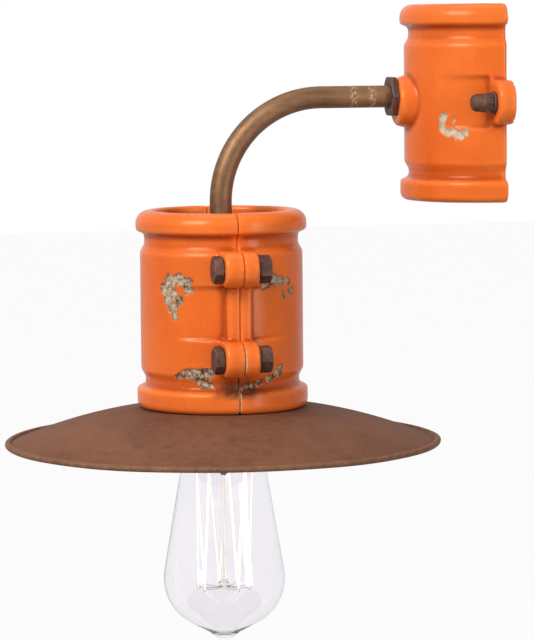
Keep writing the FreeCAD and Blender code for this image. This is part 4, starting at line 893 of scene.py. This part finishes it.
def seen_rays(tree):
    """1 for the rays that show the background: to the camera, through glass and, in part, off gloss."""
    path = add_node(tree, "ShaderNodeLightPath")
    glossy = add_node(tree, "ShaderNodeMath", {0: path.outputs["Is Glossy Ray"], 1: GLOSSY_SHARE},
                      operation="MULTIPLY")
    clear = add_node(tree, "ShaderNodeMath", {
        0: path.outputs["Is Camera Ray"], 1: path.outputs["Is Transmission Ray"]}, operation="MAXIMUM")
    return add_node(tree, "ShaderNodeMath", {0: clear.outputs[0], 1: glossy.outputs[0]},
                    operation="MAXIMUM").outputs[0]


def mixed(tree, factor, first, second):
    """A mix of two shaders."""
    return add_node(tree, "ShaderNodeMixShader", {0: factor, 1: first.outputs[0], 2: second.outputs[0]})


def emptied(owner):
    """The node tree of a new world or material, without its first nodes."""
    owner.use_nodes = True
    owner.node_tree.nodes.clear()
    return owner.node_tree


# The light around the object: dimmer behind the camera than behind the object. It shows as white.
FACING = (0.35, 0.95)         # how nearly a direction points away from the camera
LEVELS = (0.26, 0.44)

world = bpy.data.worlds.new("studio")
tree = emptied(world)
bpy.context.scene.world = world
direction = add_node(tree, "ShaderNodeTexCoord")
towards = add_node(tree, "ShaderNodeVectorMath", {0: direction.outputs["Generated"], 1: -back},
                   operation="DOT_PRODUCT")
level = add_node(tree, "ShaderNodeMapRange", {
    0: towards.outputs["Value"], 1: FACING[0], 2: FACING[1], 3: LEVELS[0], 4: LEVELS[1]})
around = add_node(tree, "ShaderNodeBackground", {"Color": level.outputs[0]})
seen = add_node(tree, "ShaderNodeBackground", {"Color": (1, 1, 1, 1)})
add_node(tree, "ShaderNodeOutputWorld", {
    "Surface": mixed(tree, seen_rays(tree), around, seen).outputs[0]})

# A plain floor: near white where it is seen, with a soft shadow, and clear from below.
FLOOR = -0.45
FLOOR_REACH = 6
FLOOR_WHITE = 0.95            # the share of the seen floor that takes no shadow

floor_mesh = bpy.data.meshes.new("floor")
floor_mesh.from_pydata([(x * FLOOR_REACH, y * FLOOR_REACH, FLOOR)
                        for x, y in ((-1, -1), (1, -1), (1, 1), (-1, 1))], [], [(0, 1, 2, 3)])
floor = new_object("floor", floor_mesh)
floor_material = bpy.data.materials.new("floor")
tree = emptied(floor_material)
matt = add_node(tree, "ShaderNodeBsdfDiffuse", {"Color": (0.85, 0.85, 0.85, 1)})
muted = add_node(tree, "ShaderNodeBsdfDiffuse", {"Color": (0.40, 0.40, 0.40, 1)})
bright = mixed(tree, FLOOR_WHITE, matt, add_node(tree, "ShaderNodeEmission"))
ground = mixed(tree, seen_rays(tree), muted, bright)
facing = add_node(tree, "ShaderNodeNewGeometry")
sides = mixed(tree, facing.outputs["Backfacing"], ground, add_node(tree, "ShaderNodeBsdfTransparent"))
add_node(tree, "ShaderNodeOutputMaterial", {"Surface": sides.outputs[0]})
floor.data.materials.append(floor_material)

bpy.context.scene.view_settings.view_transform = "Standard"
